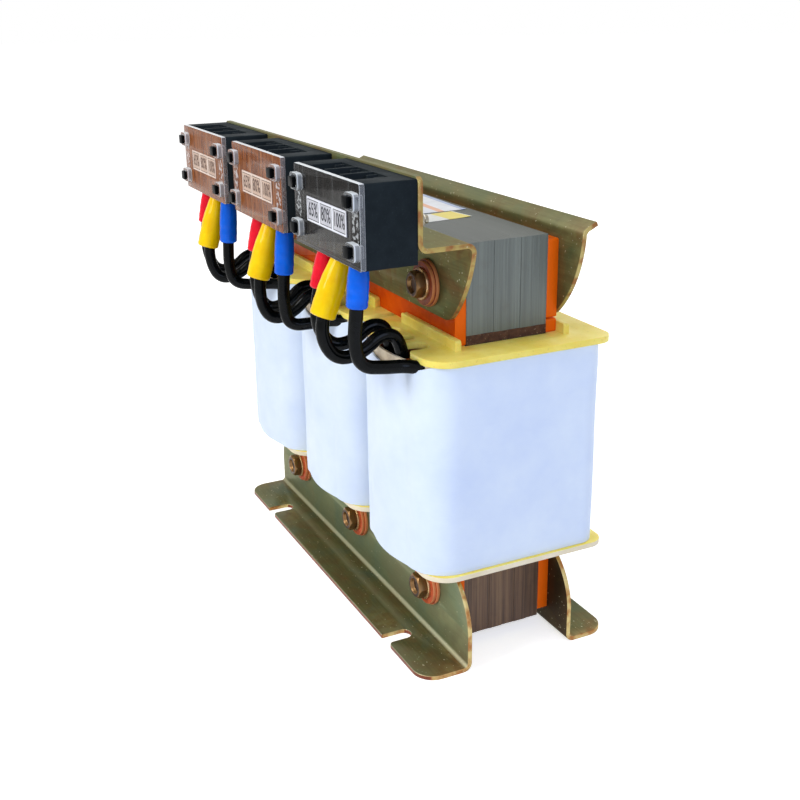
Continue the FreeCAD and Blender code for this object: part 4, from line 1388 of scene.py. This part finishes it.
@dataclass
class Coil:
    """One bobbin coil: moulded bobbin, winding, paper and outer wrap.

    All sizes in millimetres; the wrap follows the plan of the coil. half is half the
    coil's width, rear, shoulder and crown are Y of its back, of its front corners and
    of the bow between them, low and top are Z of the flanges, and middle_y is where
    the sheet is taken to swell from. In front the wrap's top edge dips by up to dip_by,
    round dip_x and dip_half to each side, and its last turn stands proud of the first.
    """

    number: int
    half: float = 42.9
    rear: float = 49.5
    shoulder: float = -57.6
    crown: float = -60.8
    front_corner: float = 21.0
    rear_corner: float = 11.0
    low: float = 59.7
    top: float = 174.2
    thickness: float = 0.9
    overlap: float = 24.0
    proud: float = 0.45
    middle_y: float = -4.0
    dip_by: float = 6.2
    dip_x: float = 1.0
    dip_half: float = 36.0

    @property
    def centre(self) -> float:
        """X of the limb, in millimetres."""
        return LIMBS[self.number - 1] / MM

    def heading(self, point: Vector) -> Vector:
        """Level direction from the coil's middle to a plan point."""
        return Vector((point.x, point.y - self.middle_y, 0.0)).normalized()

    def plan(self, steps: int = 24) -> list[Vector]:
        """Points round the coil from the near rear corner, by way of the rear.

        Args:
            steps: Points along each arc.

        Returns:
            Plan points in millimetres, with Z left at 0.
        """
        points: list[Vector] = []
        half, back, lead_in = self.half, self.rear_corner, self.front_corner

        def corner(x: float, y: float, radius: float, start: float) -> None:
            """Adds a quarter turn.

            Args:
                x: X of its centre.
                y: Y of its centre.
                radius: Its radius.
                start: Angle at which it starts, in degrees.
            """
            for i in range(steps + 1):
                turn = math.radians(start + 90.0 * i / steps)
                points.append(
                    Vector((x + radius * math.cos(turn), y + radius * math.sin(turn), 0.0))
                )

        corner(half - back, self.rear - back, back, 0.0)
        corner(-half + back, self.rear - back, back, 90.0)
        corner(-half + lead_in, self.shoulder + lead_in, lead_in, 180.0)
        span = half - lead_in
        for i in range(1, steps):
            share = i / steps
            bow = (self.crown - self.shoulder) * math.sin(math.pi * share)
            points.append(Vector((-span + 2 * span * share, self.shoulder + bow, 0.0)))
        corner(half - lead_in, self.shoulder + lead_in, lead_in, 270.0)
        return points

    def walk(self, count: int) -> list[Vector]:
        """Evenly spaced points along the plan, past its start by the overlap.

        Args:
            count: How many points.

        Returns:
            The points, the overlapping end a little proud of the start.
        """
        plan = self.plan()
        plan.append(plan[0])
        reach = [0.0]
        for a, b in zip(plan, plan[1:]):
            reach.append(reach[-1] + (b - a).length)
        whole = reach[-1]
        made: list[Vector] = []
        for i in range(count):
            way = (whole + self.overlap) * i / (count - 1)
            inside = way % whole
            at = max(j for j in range(len(plan) - 1) if reach[j] <= inside)
            run = max(reach[at + 1] - reach[at], 1e-6)
            point = plan[at].lerp(plan[at + 1], (inside - reach[at]) / run)
            proud = self.proud * min(1.0, max(0.0, (way - whole + 3.0) / 6.0))
            made.append(point + self.heading(point) * proud)
        return made

    def dip(self, x: float, y: float) -> float:
        """How far the wrap's top edge stands below the flange at a plan point.

        Args:
            x: X of the point from the limb.
            y: Its Y.

        Returns:
            The drop, none on the sides and the rear.
        """
        if y > self.shoulder + self.front_corner:
            return 0.0
        share = max(0.0, 1.0 - ((x - self.dip_x) / self.dip_half) ** 2)
        return self.dip_by * share**0.8

    def wrap(self) -> bpy.types.Object:
        """Models the outer wrap as one sheet wound round the coil.

        Returns:
            The wrap, with its overlap at the near rear corner.
        """
        around, levels = 300, 30
        only()
        bpy.ops.mesh.primitive_grid_add(x_subdivisions=around, y_subdivisions=levels, size=2.0)
        obj = named(f"wrap_{self.number}")
        line = self.walk(around + 1)
        for vertex in obj.data.vertices:
            u = round((vertex.co.x + 1.0) / 2.0 * around)
            share = (vertex.co.y + 1.0) / 2.0
            point = line[min(u, around)]
            top = self.top - self.dip(point.x, point.y)
            z = self.low + (top - self.low) * share
            seed = Vector((point.x, point.y + 200.0 * self.number, z)) / 38.0
            swell = 0.35 * noise.noise(seed) + 0.12 * noise.noise(seed * 3.1)
            edge = min(1.0, share / 0.08, (1.0 - share) / 0.08)
            out = self.heading(point) * swell * edge
            vertex.co = (
                (self.centre + point.x + out.x) * MM,
                (point.y + out.y) * MM,
                z * MM,
            )
        outward(obj)
        probe = obj.data.polygons[len(obj.data.polygons) // 2]
        if probe.normal.dot(probe.center - Vector((self.centre * MM, 0.0, probe.center.z))) < 0:
            obj.data.flip_normals()
        wall = obj.modifiers.new("thickness", "SOLIDIFY")
        wall.thickness = self.thickness * MM
        wall.offset = -1.0
        bpy.ops.object.modifier_apply(modifier=wall.name)
        bpy.ops.object.shade_smooth_by_angle(angle=math.radians(40))
        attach(obj, "root")
        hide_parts(f"outer_wrap_{self.number}")
        return dress(obj, WRAP)

    def on_low_edge(self, face: bpy.types.MeshPolygon) -> bool:
        """Whether a face of the bobbin belongs to the lower flange's edge."""
        return face.center.z < self.low * MM and abs(face.normal.z) < 0.5

    def build(self) -> None:
        """Builds the bobbin and the wrap and dresses the winding and paper."""
        bobbin = from_node(f"bobbin_{self.number}", f"bobbin_{self.number}_moulding", 0.45)
        dress(bobbin, BOBBIN)
        # The lower flange's edge takes a painted reflection of the floor.
        dress_faces(bobbin, BOBBIN_LIT_EDGE, self.on_low_edge)
        dress_nodes(COPPER, f"winding_{self.number}")
        dress_nodes(CREAM_PAPER, f"paper_{self.number}")
        self.wrap()


@dataclass
class ClampFasteners:
    """Bolts with dished heads, washers, nuts and sleeves of the clamps.

    Sizes in millimetres. The M8 thread is drawn as rings at its real pitch. shank,
    crest and root are radii, showing is the end that stands out of the nut and run_in
    the thread that goes on inside it. middle_z parts the upper bolts from the lower
    ones, and washers below feet_top are those of the feet.
    """

    middle_z: float = 130.0
    feet_top: float = 100.0
    shank: float = 4.0
    pitch: float = 1.25
    crest: float = 3.98
    root: float = 3.42
    showing: float = 3.0
    run_in: float = 0.6

    def tips(self, bolts: bpy.types.Object) -> list[Vector]:
        """Finds the bolt ends in the bolts' own mesh.

        Args:
            bolts: The bolts' piece.

        Returns:
            The middles of the six ends, at the tips' Y.
        """
        tail = max(vertex.co.y for vertex in bolts.data.vertices)
        ends = [v.co for v in bolts.data.vertices if v.co.y > tail - self.showing / 2 * MM]
        places: list[Vector] = []
        for limb in LIMBS:
            beside = [co.z for co in ends if abs(co.x - limb) < 10 * MM]
            for upper in (False, True):
                levels = [z for z in beside if (z >= self.middle_z * MM) is upper]
                places.append(Vector((limb, tail, (min(levels) + max(levels)) / 2)))
        return places

    def threads(self, bolts: bpy.types.Object) -> None:
        """Draws in the projecting ends and sets a threaded ring round each.

        Args:
            bolts: The bolts' piece.
        """
        places = self.tips(bolts)
        start = places[0].y - (self.showing + self.run_in) * MM
        shrink = (self.root - 0.1) / self.shank
        only(bolts)
        bpy.ops.object.mode_set(mode="EDIT")
        bpy.ops.mesh.select_all(action="SELECT")
        bpy.ops.mesh.bisect(plane_co=(0.0, start, 0.0), plane_no=(0.0, 1.0, 0.0))
        bpy.ops.object.mode_set(mode="OBJECT")
        for vertex in bolts.data.vertices:
            if vertex.co.y > start + 0.1 * MM:
                axis = min(places, key=lambda p: math.hypot(p.x - vertex.co.x, p.z - vertex.co.z))
                vertex.co.x = axis.x + (vertex.co.x - axis.x) * shrink
                vertex.co.z = axis.z + (vertex.co.z - axis.z) * shrink
        length = self.showing + self.run_in - 0.15
        core = self.root - 0.3
        ridge = ((0.06, self.root), (0.42, self.crest), (0.58, self.crest), (0.94, self.root))
        profile = [(core, 0.0)]
        for turn in range(math.ceil(length / self.pitch)):
            for share, radius in ridge:
                height = min((turn + share) * self.pitch, length)
                pointed = self.crest - max(0.0, height - (length - 0.9)) * 0.7
                profile.append((min(radius, pointed), height))
        profile.append((core, length + 0.02))
        rings = lathe("bolt_threads", [(r * MM, z * MM) for r, z in profile], 36)
        rings.data.transform(Matrix.Rotation(math.radians(-90), 4, "X"))
        master = rings.data.copy()
        for count, place in enumerate(places):
            piece = rings
            if count:
                piece = linked(f"bolt_threads_{count}", master.copy())
            piece.data.transform(Matrix.Translation((place.x, start, place.z)))
            outward(piece)
            bpy.ops.object.shade_smooth_by_angle(angle=math.radians(30))
            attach(piece, "root")
            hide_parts("clamp_bolts")
            dress(piece, BOLT_ZINC)

    def build(self) -> None:
        """Rounds the turned edges and dresses the fasteners."""
        for node, finish, slot, width in (
            ("clamp_bolts", BOLT_ZINC, "zinc_fastener", 0.3),
            ("clamp_nuts", BOLT_ZINC, "zinc_fastener", 0.25),
            ("flat_washers", WASHER_ZINC, "zinc_fastener", 0.25),
            ("insulating_washers", FIBRE_WASHER, "insulating_fibre", 0.3),
        ):
            piece = dress(from_node(node, f"{node}_turned", width), finish)
            if finish is FIBRE_WASHER:
                dress_faces(piece, LOW_WASHER, lambda face: face.center.z < self.feet_top * MM)
            if node == "clamp_bolts":
                self.threads(piece)
        dress_nodes(SPRING_STEEL, "spring_washers")
        dress_nodes(SLEEVE_TUBE, "insulating_sleeves")


@dataclass
class MarkingCard:
    """Card of three framed fields with the plain tap numbers, in millimetres.

    block alone is in metres: the block's X. The card lies shift beside it, at Z level
    and in front of Y face. finishes are those of the card, of lines and numbers and of
    the fields. squeeze narrows a short and a long mark.
    """

    block: float
    size: tuple[float, float, float] = (48.6, 12.2, 0.4)
    shift: float = 1.2
    level: float = 248.3
    face: float = -90.9
    border: float = 1.0
    line: float = 0.4
    letter: float = 9.8
    squeeze: tuple[float, float] = (0.72, 0.62)
    finishes: tuple[Finish, Finish, Finish] = (CARD, INK, FIELD)
    marks: tuple[str, str, str] = ("65%", "80%", "100%")

    def card(self) -> bpy.types.Object:
        """Models the card from a slab cut in three and inset twice.

        Returns:
            The card.
        """
        wide, high, thick = self.size
        middle = self.block / MM + self.shift
        only()
        bpy.ops.mesh.primitive_cube_add(
            size=1.0, location=(middle * MM, (self.face - thick / 2) * MM, self.level * MM)
        )
        obj = named(f"card_{round(self.block * 1000)}")
        obj.scale = (wide * MM, thick * MM, high * MM)
        settle(obj)
        for finish in self.finishes:
            obj.data.materials.append(finish.material())
        bpy.ops.object.mode_set(mode="EDIT")
        for side in (-0.5, 0.5):
            bpy.ops.mesh.select_all(action="SELECT")
            cut = (middle + side * wide / 3) * MM
            bpy.ops.mesh.bisect(plane_co=(cut, 0.0, 0.0), plane_no=(1.0, 0.0, 0.0))
        pick(obj, lambda face: face.normal.y < -0.9)
        bpy.ops.mesh.inset(thickness=self.border * MM, use_individual=True)
        obj.active_material_index = 1
        bpy.ops.object.material_slot_assign()
        bpy.ops.mesh.inset(thickness=self.line * MM, use_individual=True)
        obj.active_material_index = 2
        bpy.ops.object.material_slot_assign()
        only()
        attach(obj, "root")
        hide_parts("marking_strips")
        return obj

    def number(self, mark: str, place: float) -> bpy.types.Object:
        """Models a plain number on its field from a text turned upright.

        Args:
            mark: The number.
            place: X of its middle.

        Returns:
            The number as a mesh.
        """
        only()
        bpy.ops.object.text_add()
        obj = bpy.context.active_object
        obj.data.body = mark
        obj.data.align_x = "CENTER"
        obj.data.align_y = "CENTER"
        obj.data.size = self.letter * MM
        obj.data.offset = 0.1 * MM
        obj.data.extrude = 0.03 * MM
        short, long = self.squeeze
        obj.scale = (short if len(mark) == 3 else long, 1.0, 1.0)
        obj.rotation_euler = (math.radians(90), 0.0, 0.0)
        obj.location = (place * MM, (self.face - self.size[2] - 0.04) * MM, self.level * MM)
        bpy.ops.object.convert(target="MESH")
        obj = settle(named(f"number_{mark[:-1]}_{round(self.block * 1000)}"))
        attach(obj, "root")
        return dress(obj, self.finishes[1])

    def build(self) -> None:
        """Builds the card and its three numbers."""
        self.card()
        middle = self.block / MM + self.shift
        for step, mark in zip((-1, 0, 1), self.marks):
            self.number(mark, middle + step * self.size[0] / 3)


@dataclass
class TerminalBlocks:
    """Three barrier blocks with clear covers, catches, bars and screws.

    Millimetres. The looped tabs and the catches in them are drawn to tab_height of
    their height about their own middles. These lie tab_reach to each side of a block's
    middle and tab_level above and below middle, which is Z of the row.
    """

    middle: float = 248.7
    tab_level: float = 11.6
    tab_reach: float = 34.55
    tab_half: float = 5.45
    tab_height: float = 0.8

    def lower_tabs(self, obj: bpy.types.Object, blocks: Sequence[float]) -> None:
        """Draws the tabs of a cover, or the catches, together about their middles.

        Args:
            obj: The cover or the catches.
            blocks: X of the blocks that it belongs to, in metres.
        """
        for vertex in obj.data.vertices:
            x, z = vertex.co.x / MM, vertex.co.z / MM
            for block in blocks:
                across = abs(abs(x - block / MM) - self.tab_reach)
                for side in (-1, 1):
                    centre = self.middle + side * self.tab_level
                    if across < self.tab_half and abs(z - centre) < self.tab_half:
                        vertex.co.z = (centre + (z - centre) * self.tab_height) * MM
        obj.data.update()

    def build(self) -> None:
        """Rounds the mouldings and dresses every part of the blocks."""
        for number, (place, plate) in enumerate(zip(BLOCKS, COVERS), 1):
            body = from_node(f"block_body_{number}", f"block_{number}_moulding", 0.4)
            dress(body, BLACK_BODY)
            cover = from_node(f"block_cover_{number}", f"cover_{number}_clear", 0.45, 3)
            self.lower_tabs(cover, (place,))
            dress(cover, plate)
            card = MarkingCard(place)
            if number < len(BLOCKS):
                card.finishes = (BROWN_CARD, BROWN_INK, BROWN_FIELD)
            card.build()
        catch = from_node("cover_catches", "catches_moulding", 0.35)
        self.lower_tabs(catch, BLOCKS)
        dress(catch, CATCH_BLACK)
        dress_nodes(BRASS, "contact_bars")
        dress_nodes(PLATED, "terminal_screws", "block_screws", "block_nuts")


class Phase(Enum):
    """The three leads of a block, by the colour of their boots."""

    RED = "red"
    YELLOW = "yellow"
    BLUE = "blue"


@dataclass(frozen=True)
class LeadForm:
    """Course of the leads of one colour, in millimetres.

    pole is the screw, -1 to 1 from the block's middle. course holds (y, z, share of the
    sideways shift) for each point between the lug and the coil; end is the X offset
    from the limb, Y and Z where it dives in; tuck, if any, is how much further it goes,
    out of sight between the wrap and the flange. boot_end is the boot's width at its
    open end, and vinyl its light and dark tone.
    """

    pole: int
    course: tuple[tuple[float, float, float], ...]
    end: tuple[float, float, float]
    boot_length: float
    boot_end: float
    vinyl: tuple[str, str]
    tuck: tuple[float, ...] = ()


FORMS: dict[Phase, LeadForm] = {
    Phase.RED: LeadForm(
        -1,
        (
            (-85.4, 216.5, 0.0),
            (-89.6, 201.0, 0.0),
            (-91.0, 188.0, 0.3),
            (-84.5, 178.0, 0.55),
            (-73.5, 179.4, 0.78),
            (-64.0, 188.4, 0.92),
            (-53.9, 184.4, 1.0),
        ),
        (-4.0, -53.2, 169.0),
        26.0,
        10.8,
        ("#F01430", "#D80C28"),
    ),
    Phase.YELLOW: LeadForm(
        0,
        (
            (-87.4, 216.2, 0.0),
            (-93.8, 200.6, 0.0),
            (-95.6, 186.8, 0.15),
            (-88.5, 175.4, 0.4),
            (-75.0, 177.4, 0.7),
            (-64.4, 187.0, 0.88),
            (-54.0, 182.8, 1.0),
        ),
        (10.0, -53.2, 169.0),
        34.0,
        13.4,
        ("#FFD406", "#F8C200"),
    ),
    Phase.BLUE: LeadForm(
        1,
        (
            (-83.1, 216.8, 0.0),
            (-84.6, 201.5, 0.0),
            (-86.0, 187.0, 0.1),
            (-82.5, 175.6, 0.3),
            (-69.5, 173.6, 0.7),
        ),
        (24.5, -56.4, 172.6),
        27.0,
        10.8,
        ("#0066E8", "#0056CE"),
        (7.0, 6.0, -0.6),
    ),
}


@dataclass
class LeadSet:
    """The three leads of one block, from the lugs to the coil, with their boots.

    Millimetres. droop moves the course up or down in front of the coil, lean is the
    share of its forward swing that this set keeps, and longer is added to the yellow
    and the blue boot. neck is a boot's width at the block, lap how far it starts behind
    the lug's end, near_boot the extra length of the nearest yellow one, flare the share
    of its length over which it widens, and rib the height of its faint rings.
    """

    number: int
    droop: float
    lean: float
    longer: float
    diameter: float = 7.0
    start_y: float = -82.0
    start_z: float = 229.6
    pole_pitch: float = 18.9
    neck: float = 9.2
    lap: float = 3.0
    near_boot: float = 2.8
    flare: float = 0.62
    rib: float = 0.07
    rings: int = 5

    def route(self, form: LeadForm) -> list[Vector]:
        """Lays out a lead from its lug to the coil.

        Args:
            form: The course of its colour.

        Returns:
            The control points, in metres.
        """
        start_x = BLOCKS[self.number - 1] / MM + form.pole * self.pole_pitch
        end_x = LIMBS[self.number - 1] / MM + form.end[0]
        points = [Vector((start_x, self.start_y, self.start_z))]
        for y, z, share in form.course:
            across = self.start_y + self.lean * (y - self.start_y) if y < self.start_y else y
            low = self.droop * min(1.0, max(0.0, (-58.0 - y) / 25.0)) if z < 200 else 0.0
            points.append(Vector((start_x + share * (end_x - start_x), across, z + low)))
        points.append(Vector((end_x, form.end[1], form.end[2])))
        if form.tuck:
            points.append(points[-1] + Vector(form.tuck))
        return [point * MM for point in points]

    def spline_length(self, points: Sequence[Vector]) -> float:
        """Measures the smooth curve that starts and ends on the control points.

        Args:
            points: The control points.

        Returns:
            Its length, in the unit of the points.
        """
        ends = [points[0]]
        ends += [(a + b) / 2 for a, b in zip(points[1:-2], points[2:-1])]
        ends.append(points[-1])
        total, last = 0.0, points[0]
        for a, middle, b in zip(ends, points[1:-1], ends[1:]):
            for i in range(1, 17):
                t = i / 16
                here = a * (1 - t) ** 2 + middle * 2 * t * (1 - t) + b * t**2
                total += (here - last).length
                last = here
        return total

    def lead(self, phase: Phase, points: Sequence[Vector]) -> bpy.types.Object:
        """Models a lead as a round tube on one smooth spline.

        Args:
            phase: Its colour.
            points: The control points, in metres.

        Returns:
            The lead.
        """
        name = f"flex_{phase.value}_{self.number}"
        data = bpy.data.curves.new(name, "CURVE")
        data.dimensions = "3D"
        spline = data.splines.new("NURBS")
        spline.points.add(len(points) - 1)
        for place, point in zip(spline.points, points):
            place.co = (*point, 1.0)
            place.radius = self.diameter / 2 * MM
        spline.order_u = 3
        spline.use_endpoint_u = True
        data.resolution_u = 12
        data.bevel_depth = 1.0
        data.bevel_resolution = 7
        data.use_fill_caps = True
        obj = linked(name, data)
        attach(obj, "root")
        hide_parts(f"lead_{phase.value}_{self.number}")
        return dress(obj, SLEEVING)

    def boot(self, phase: Phase, form: LeadForm, points: Sequence[Vector]) -> bpy.types.Object:
        """Models a vinyl boot, drawn out ring by ring, faintly ribbed, open at its end.

        Args:
            phase: Its colour.
            form: The course and sizes of that colour.
            points: The lead's control points, in metres.

        Returns:
            The boot.
        """
        length = form.boot_length + (0.0 if phase is Phase.RED else self.longer)
        if phase is Phase.YELLOW and self.number == len(BLOCKS):
            length += self.near_boot
        neck, end = self.neck / 2, form.boot_end / 2
        inner = self.diameter / 2 + 0.45
        steps = 30
        profile = [(inner, 0.0), (neck - 0.5, 0.0), (neck, 0.6)]
        for i in range(1, steps + 1):
            share = i / steps
            grow = min(1.0, share / self.flare)
            ease = grow * grow * (3 - 2 * grow)
            rib = self.rib * math.sin(share * 2 * math.pi * self.rings) * (0.3 + share)
            level = 0.6 + (length - 2.1) * share
            profile.append((neck + (end - neck) * ease + rib, level))
        # The rounded rim, then back inside until the wall meets the lead.
        profile += [(end - 0.2, length - 0.7), (end - 0.7, length - 0.2), (end - 1.3, length)]
        profile += [(inner + 0.5, length - 0.3), (inner, length - 2.0)]
        obj = lathe(f"boot_{phase.value}_{self.number}", [(r * MM, z * MM) for r, z in profile], 40)
        way = (points[1] - points[0]).normalized()
        turn = Vector((0.0, 0.0, 1.0)).rotation_difference(way).to_matrix().to_4x4()
        obj.data.transform(Matrix.Translation(points[0] - way * self.lap * MM) @ turn)
        outward(obj)
        bpy.ops.object.shade_smooth_by_angle(angle=math.radians(50))
        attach(obj, "root")
        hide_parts(f"boots_{phase.value}")
        light, dark = form.vinyl
        # Soft plasticised vinyl: full colour, hardly mottled, with a waxy gloss.
        vinyl = Mottled(
            f"soft {phase.value} vinyl",
            base=light, other=dark, speck=dark, mottle_mm=9.0, grain_mm=1.2, roughness=0.24,
            bump=0.12, specular=0.04, coat=0.22,
        )
        return dress(obj, vinyl)

    def build(self) -> None:
        for phase, form in FORMS.items():
            points = self.route(form)
            flex = self.lead(phase, points)
            boot = self.boot(phase, form, points)
            self.spline_length(points)


@dataclass
class Sticker:
    """A blank sticker on the top of the upper yoke, one corner lifting.

    Millimetres, and degrees for its turn. level is Z of the yoke's top, and the corner
    lifts by lift, from corner away.
    """

    name: str
    finish: PrintedSticker
    centre: tuple[float, float]
    size: tuple[float, float]
    turn: float
    level: float = 231.1
    thickness: float = 0.14
    lift: float = 0.25
    corner: float = 12.0

    def build(self) -> None:
        """Models the sticker from a plane, cut into fields and given thickness."""
        only()
        wide, deep = self.size
        bpy.ops.mesh.primitive_plane_add(
            size=1.0, location=(self.centre[0] * MM, self.centre[1] * MM, (self.level + 0.05) * MM)
        )
        obj = named(self.name)
        obj.scale = (wide * MM, deep * MM, 1.0)
        obj.rotation_euler = (0.0, 0.0, math.radians(self.turn))
        settle(obj)
        bpy.ops.object.mode_set(mode="EDIT")
        bpy.ops.mesh.select_all(action="SELECT")
        bpy.ops.mesh.subdivide(number_cuts=14)
        bpy.ops.object.mode_set(mode="OBJECT")
        near = max(obj.data.vertices, key=lambda v: v.co.x + v.co.y).co.copy()
        for vertex in obj.data.vertices:
            away = (vertex.co - near).length / (self.corner * MM)
            if away < 1.0:
                vertex.co.z += self.lift * MM * (1.0 - away) ** 2
        wall = obj.modifiers.new("thickness", "SOLIDIFY")
        wall.thickness = self.thickness * MM
        wall.offset = 1.0
        only(obj)
        bpy.ops.object.modifier_apply(modifier=wall.name)
        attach(obj, "root")
        dress(obj, self.finish)


@dataclass
class Studio:
    """Plain pale floor, soft light and the camera of the photograph.

    The camera was fitted to the picture: its focal length and middle are in pixels of
    the photograph, its place in metres, and right and up are the picture's axes. aim is
    the height that the lamps face, ambient the world's light on the object, and glow
    what the floor adds to its own look for the camera.
    """

    focal_px: float = 1124.53
    middle_px: tuple[float, float] = (396.33, 373.18)
    frame_px: float = 800.0
    place: tuple[float, float, float] = (0.59803, -0.29391, 0.34951)
    right: tuple[float, float, float] = (0.43786, 0.89894, -0.01344)
    up: tuple[float, float, float] = (-0.28304, 0.15202, 0.94698)
    sensor_mm: float = 36.0
    aim: float = 0.13
    ambient: float = 0.45
    glow: float = 0.62

    def camera(self) -> None:
        """Sets the camera where the photograph was taken from."""
        data = bpy.data.cameras.new("view")
        data.sensor_width = self.sensor_mm
        data.lens = self.focal_px / self.frame_px * self.sensor_mm
        data.shift_x = (self.frame_px / 2 - self.middle_px[0]) / self.frame_px
        data.shift_y = (self.middle_px[1] - self.frame_px / 2) / self.frame_px
        data.clip_start = 0.01
        data.clip_end = 60.0
        obj = linked("view", data)
        right = Vector(self.right).normalized()
        up = Vector(self.up)
        up = (up - right * up.dot(right)).normalized()
        back = right.cross(up)
        turn = Matrix((right, up, back)).transposed().to_4x4()
        obj.matrix_world = Matrix.Translation(Vector(self.place)) @ turn
        bpy.context.scene.camera = obj

    def lamp(self, name: str, spot: Sequence[float], size: float, power: float, tint: str) -> None:
        """Adds a soft lamp that faces the middle of the object.

        Args:
            name: The lamp's name.
            spot: Its place in metres.
            size: Width of its round face in metres.
            power: Its power in watts.
            tint: Its colour.
        """
        data = bpy.data.lights.new(name, "AREA")
        data.shape = "DISK"
        data.size = size
        data.energy = power
        data.color = linear(tint)[:3]
        obj = linked(name, data)
        away = Vector(spot) - Vector((0.0, 0.0, self.aim))
        turn = away.to_track_quat("Z", "Y").to_matrix().to_4x4()
        obj.matrix_world = Matrix.Translation(Vector(spot)) @ turn

    def shown(self, tree: bpy.types.NodeTree) -> bpy.types.NodeSocket:
        """Finds where the backdrop is looked at, and doesn't light the object.

        Args:
            tree: The node tree of the world or of the floor.

        Returns:
            One for the camera, in gloss and through clear plastic, and else zero.
        """
        path = add(tree, "ShaderNodeLightPath")
        seen = add(
            tree,
            "ShaderNodeMath",
            {0: path.outputs["Is Camera Ray"], 1: path.outputs["Is Glossy Ray"]},
            operation="MAXIMUM",
        )
        return add(
            tree,
            "ShaderNodeMath",
            {0: seen.outputs[0], 1: path.outputs["Is Transmission Ray"]},
            operation="MAXIMUM",
        ).outputs[0]

    def surroundings(self) -> None:
        """A world that is white to the camera, in gloss and through clear plastic."""
        world = bpy.data.worlds.new("studio")
        bpy.context.scene.world = world
        world.use_nodes = True
        tree = world.node_tree
        tree.nodes.clear()
        strength = add(tree, "ShaderNodeMapRange", {0: self.shown(tree), 3: self.ambient, 4: 1.0})
        back = add(
            tree,
            "ShaderNodeBackground",
            {"Color": (1.0, 1.0, 1.0, 1.0), "Strength": strength.outputs[0]},
        )
        add(tree, "ShaderNodeOutputWorld", {"Surface": back.outputs[0]})

    def floor(self) -> None:
        """A wide pale floor that keeps the object's shadow."""
        only()
        bpy.ops.mesh.primitive_circle_add(vertices=96, radius=9.0, fill_type="NGON")
        obj = settle(named("floor"))
        made = bpy.data.materials.new("pale floor")
        made.use_nodes = True
        tree = made.node_tree
        tree.nodes.clear()
        place = add(tree, "ShaderNodeTexCoord").outputs["Object"]
        cloud = add(tree, "ShaderNodeTexNoise", {"Vector": place, "Scale": 6.0})
        tone = add(
            tree,
            "ShaderNodeValToRGB",
            {0: cloud.outputs[0]},
            stops=((0.2, "#F2F2F2"), (0.8, "#F4F4F4")),
        )
        matt = add(tree, "ShaderNodeBsdfDiffuse", {"Color": tone.outputs[0]})
        glow = add(
            tree, "ShaderNodeMath", {0: self.shown(tree), 1: self.glow}, operation="MULTIPLY"
        )
        light = add(
            tree, "ShaderNodeEmission", {"Color": (1.0, 1.0, 1.0, 1.0), "Strength": glow.outputs[0]}
        )
        both = add(tree, "ShaderNodeAddShader", {0: matt.outputs[0], 1: light.outputs[0]})
        add(tree, "ShaderNodeOutputMaterial", {"Surface": both.outputs[0]})
        obj.data.materials.append(made)

    def build(self) -> None:
        """Sets up camera, world, lamps and floor."""
        bpy.context.scene.view_settings.view_transform = "Standard"
        self.camera()
        self.surroundings()
        self.lamp("key", (0.1, -1.3, 1.0), 0.7, 13.0, "#FFFFFA")
        self.lamp("fill", (1.35, -0.1, 0.8), 0.9, 6.2, "#BCD2FF")
        self.lamp("back", (-0.5, 1.5, 0.8), 1.2, 10.0, "#FFFFFA")
        self.lamp("top", (0.1, 0.15, 1.8), 1.8, 4.0, "#FFFCF2")
        self.floor()


def main() -> None:
    """Builds the object piece by piece, then the studio."""
    logging.basicConfig(level=logging.INFO, format="%(message)s")
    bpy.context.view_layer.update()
    Core().build()
    SheetParts().build()
    Insulation().build()
    for number in (1, 2, 3):
        Coil(number).build()
    ClampFasteners().build()
    TerminalBlocks().build()
    dress_nodes(TIN, "ring_lugs")
    LeadSet(1, droop=-1.5, lean=0.72, longer=5.0).build()
    LeadSet(2, droop=-4.2, lean=0.8, longer=4.5).build()
    LeadSet(3, droop=0.0, lean=1.0, longer=0.0).build()
    Sticker(
        "wide_sticker", WIDE_STICKER, centre=(-12.0, 7.0), size=(102.0, 31.0), turn=-2.0
    ).build()
    Sticker(
        "small_sticker", SMALL_STICKER, centre=(52.0, -3.0), size=(19.0, 30.0), turn=6.0
    ).build()
    Studio().build()


if __name__ == "__main__":
    main()
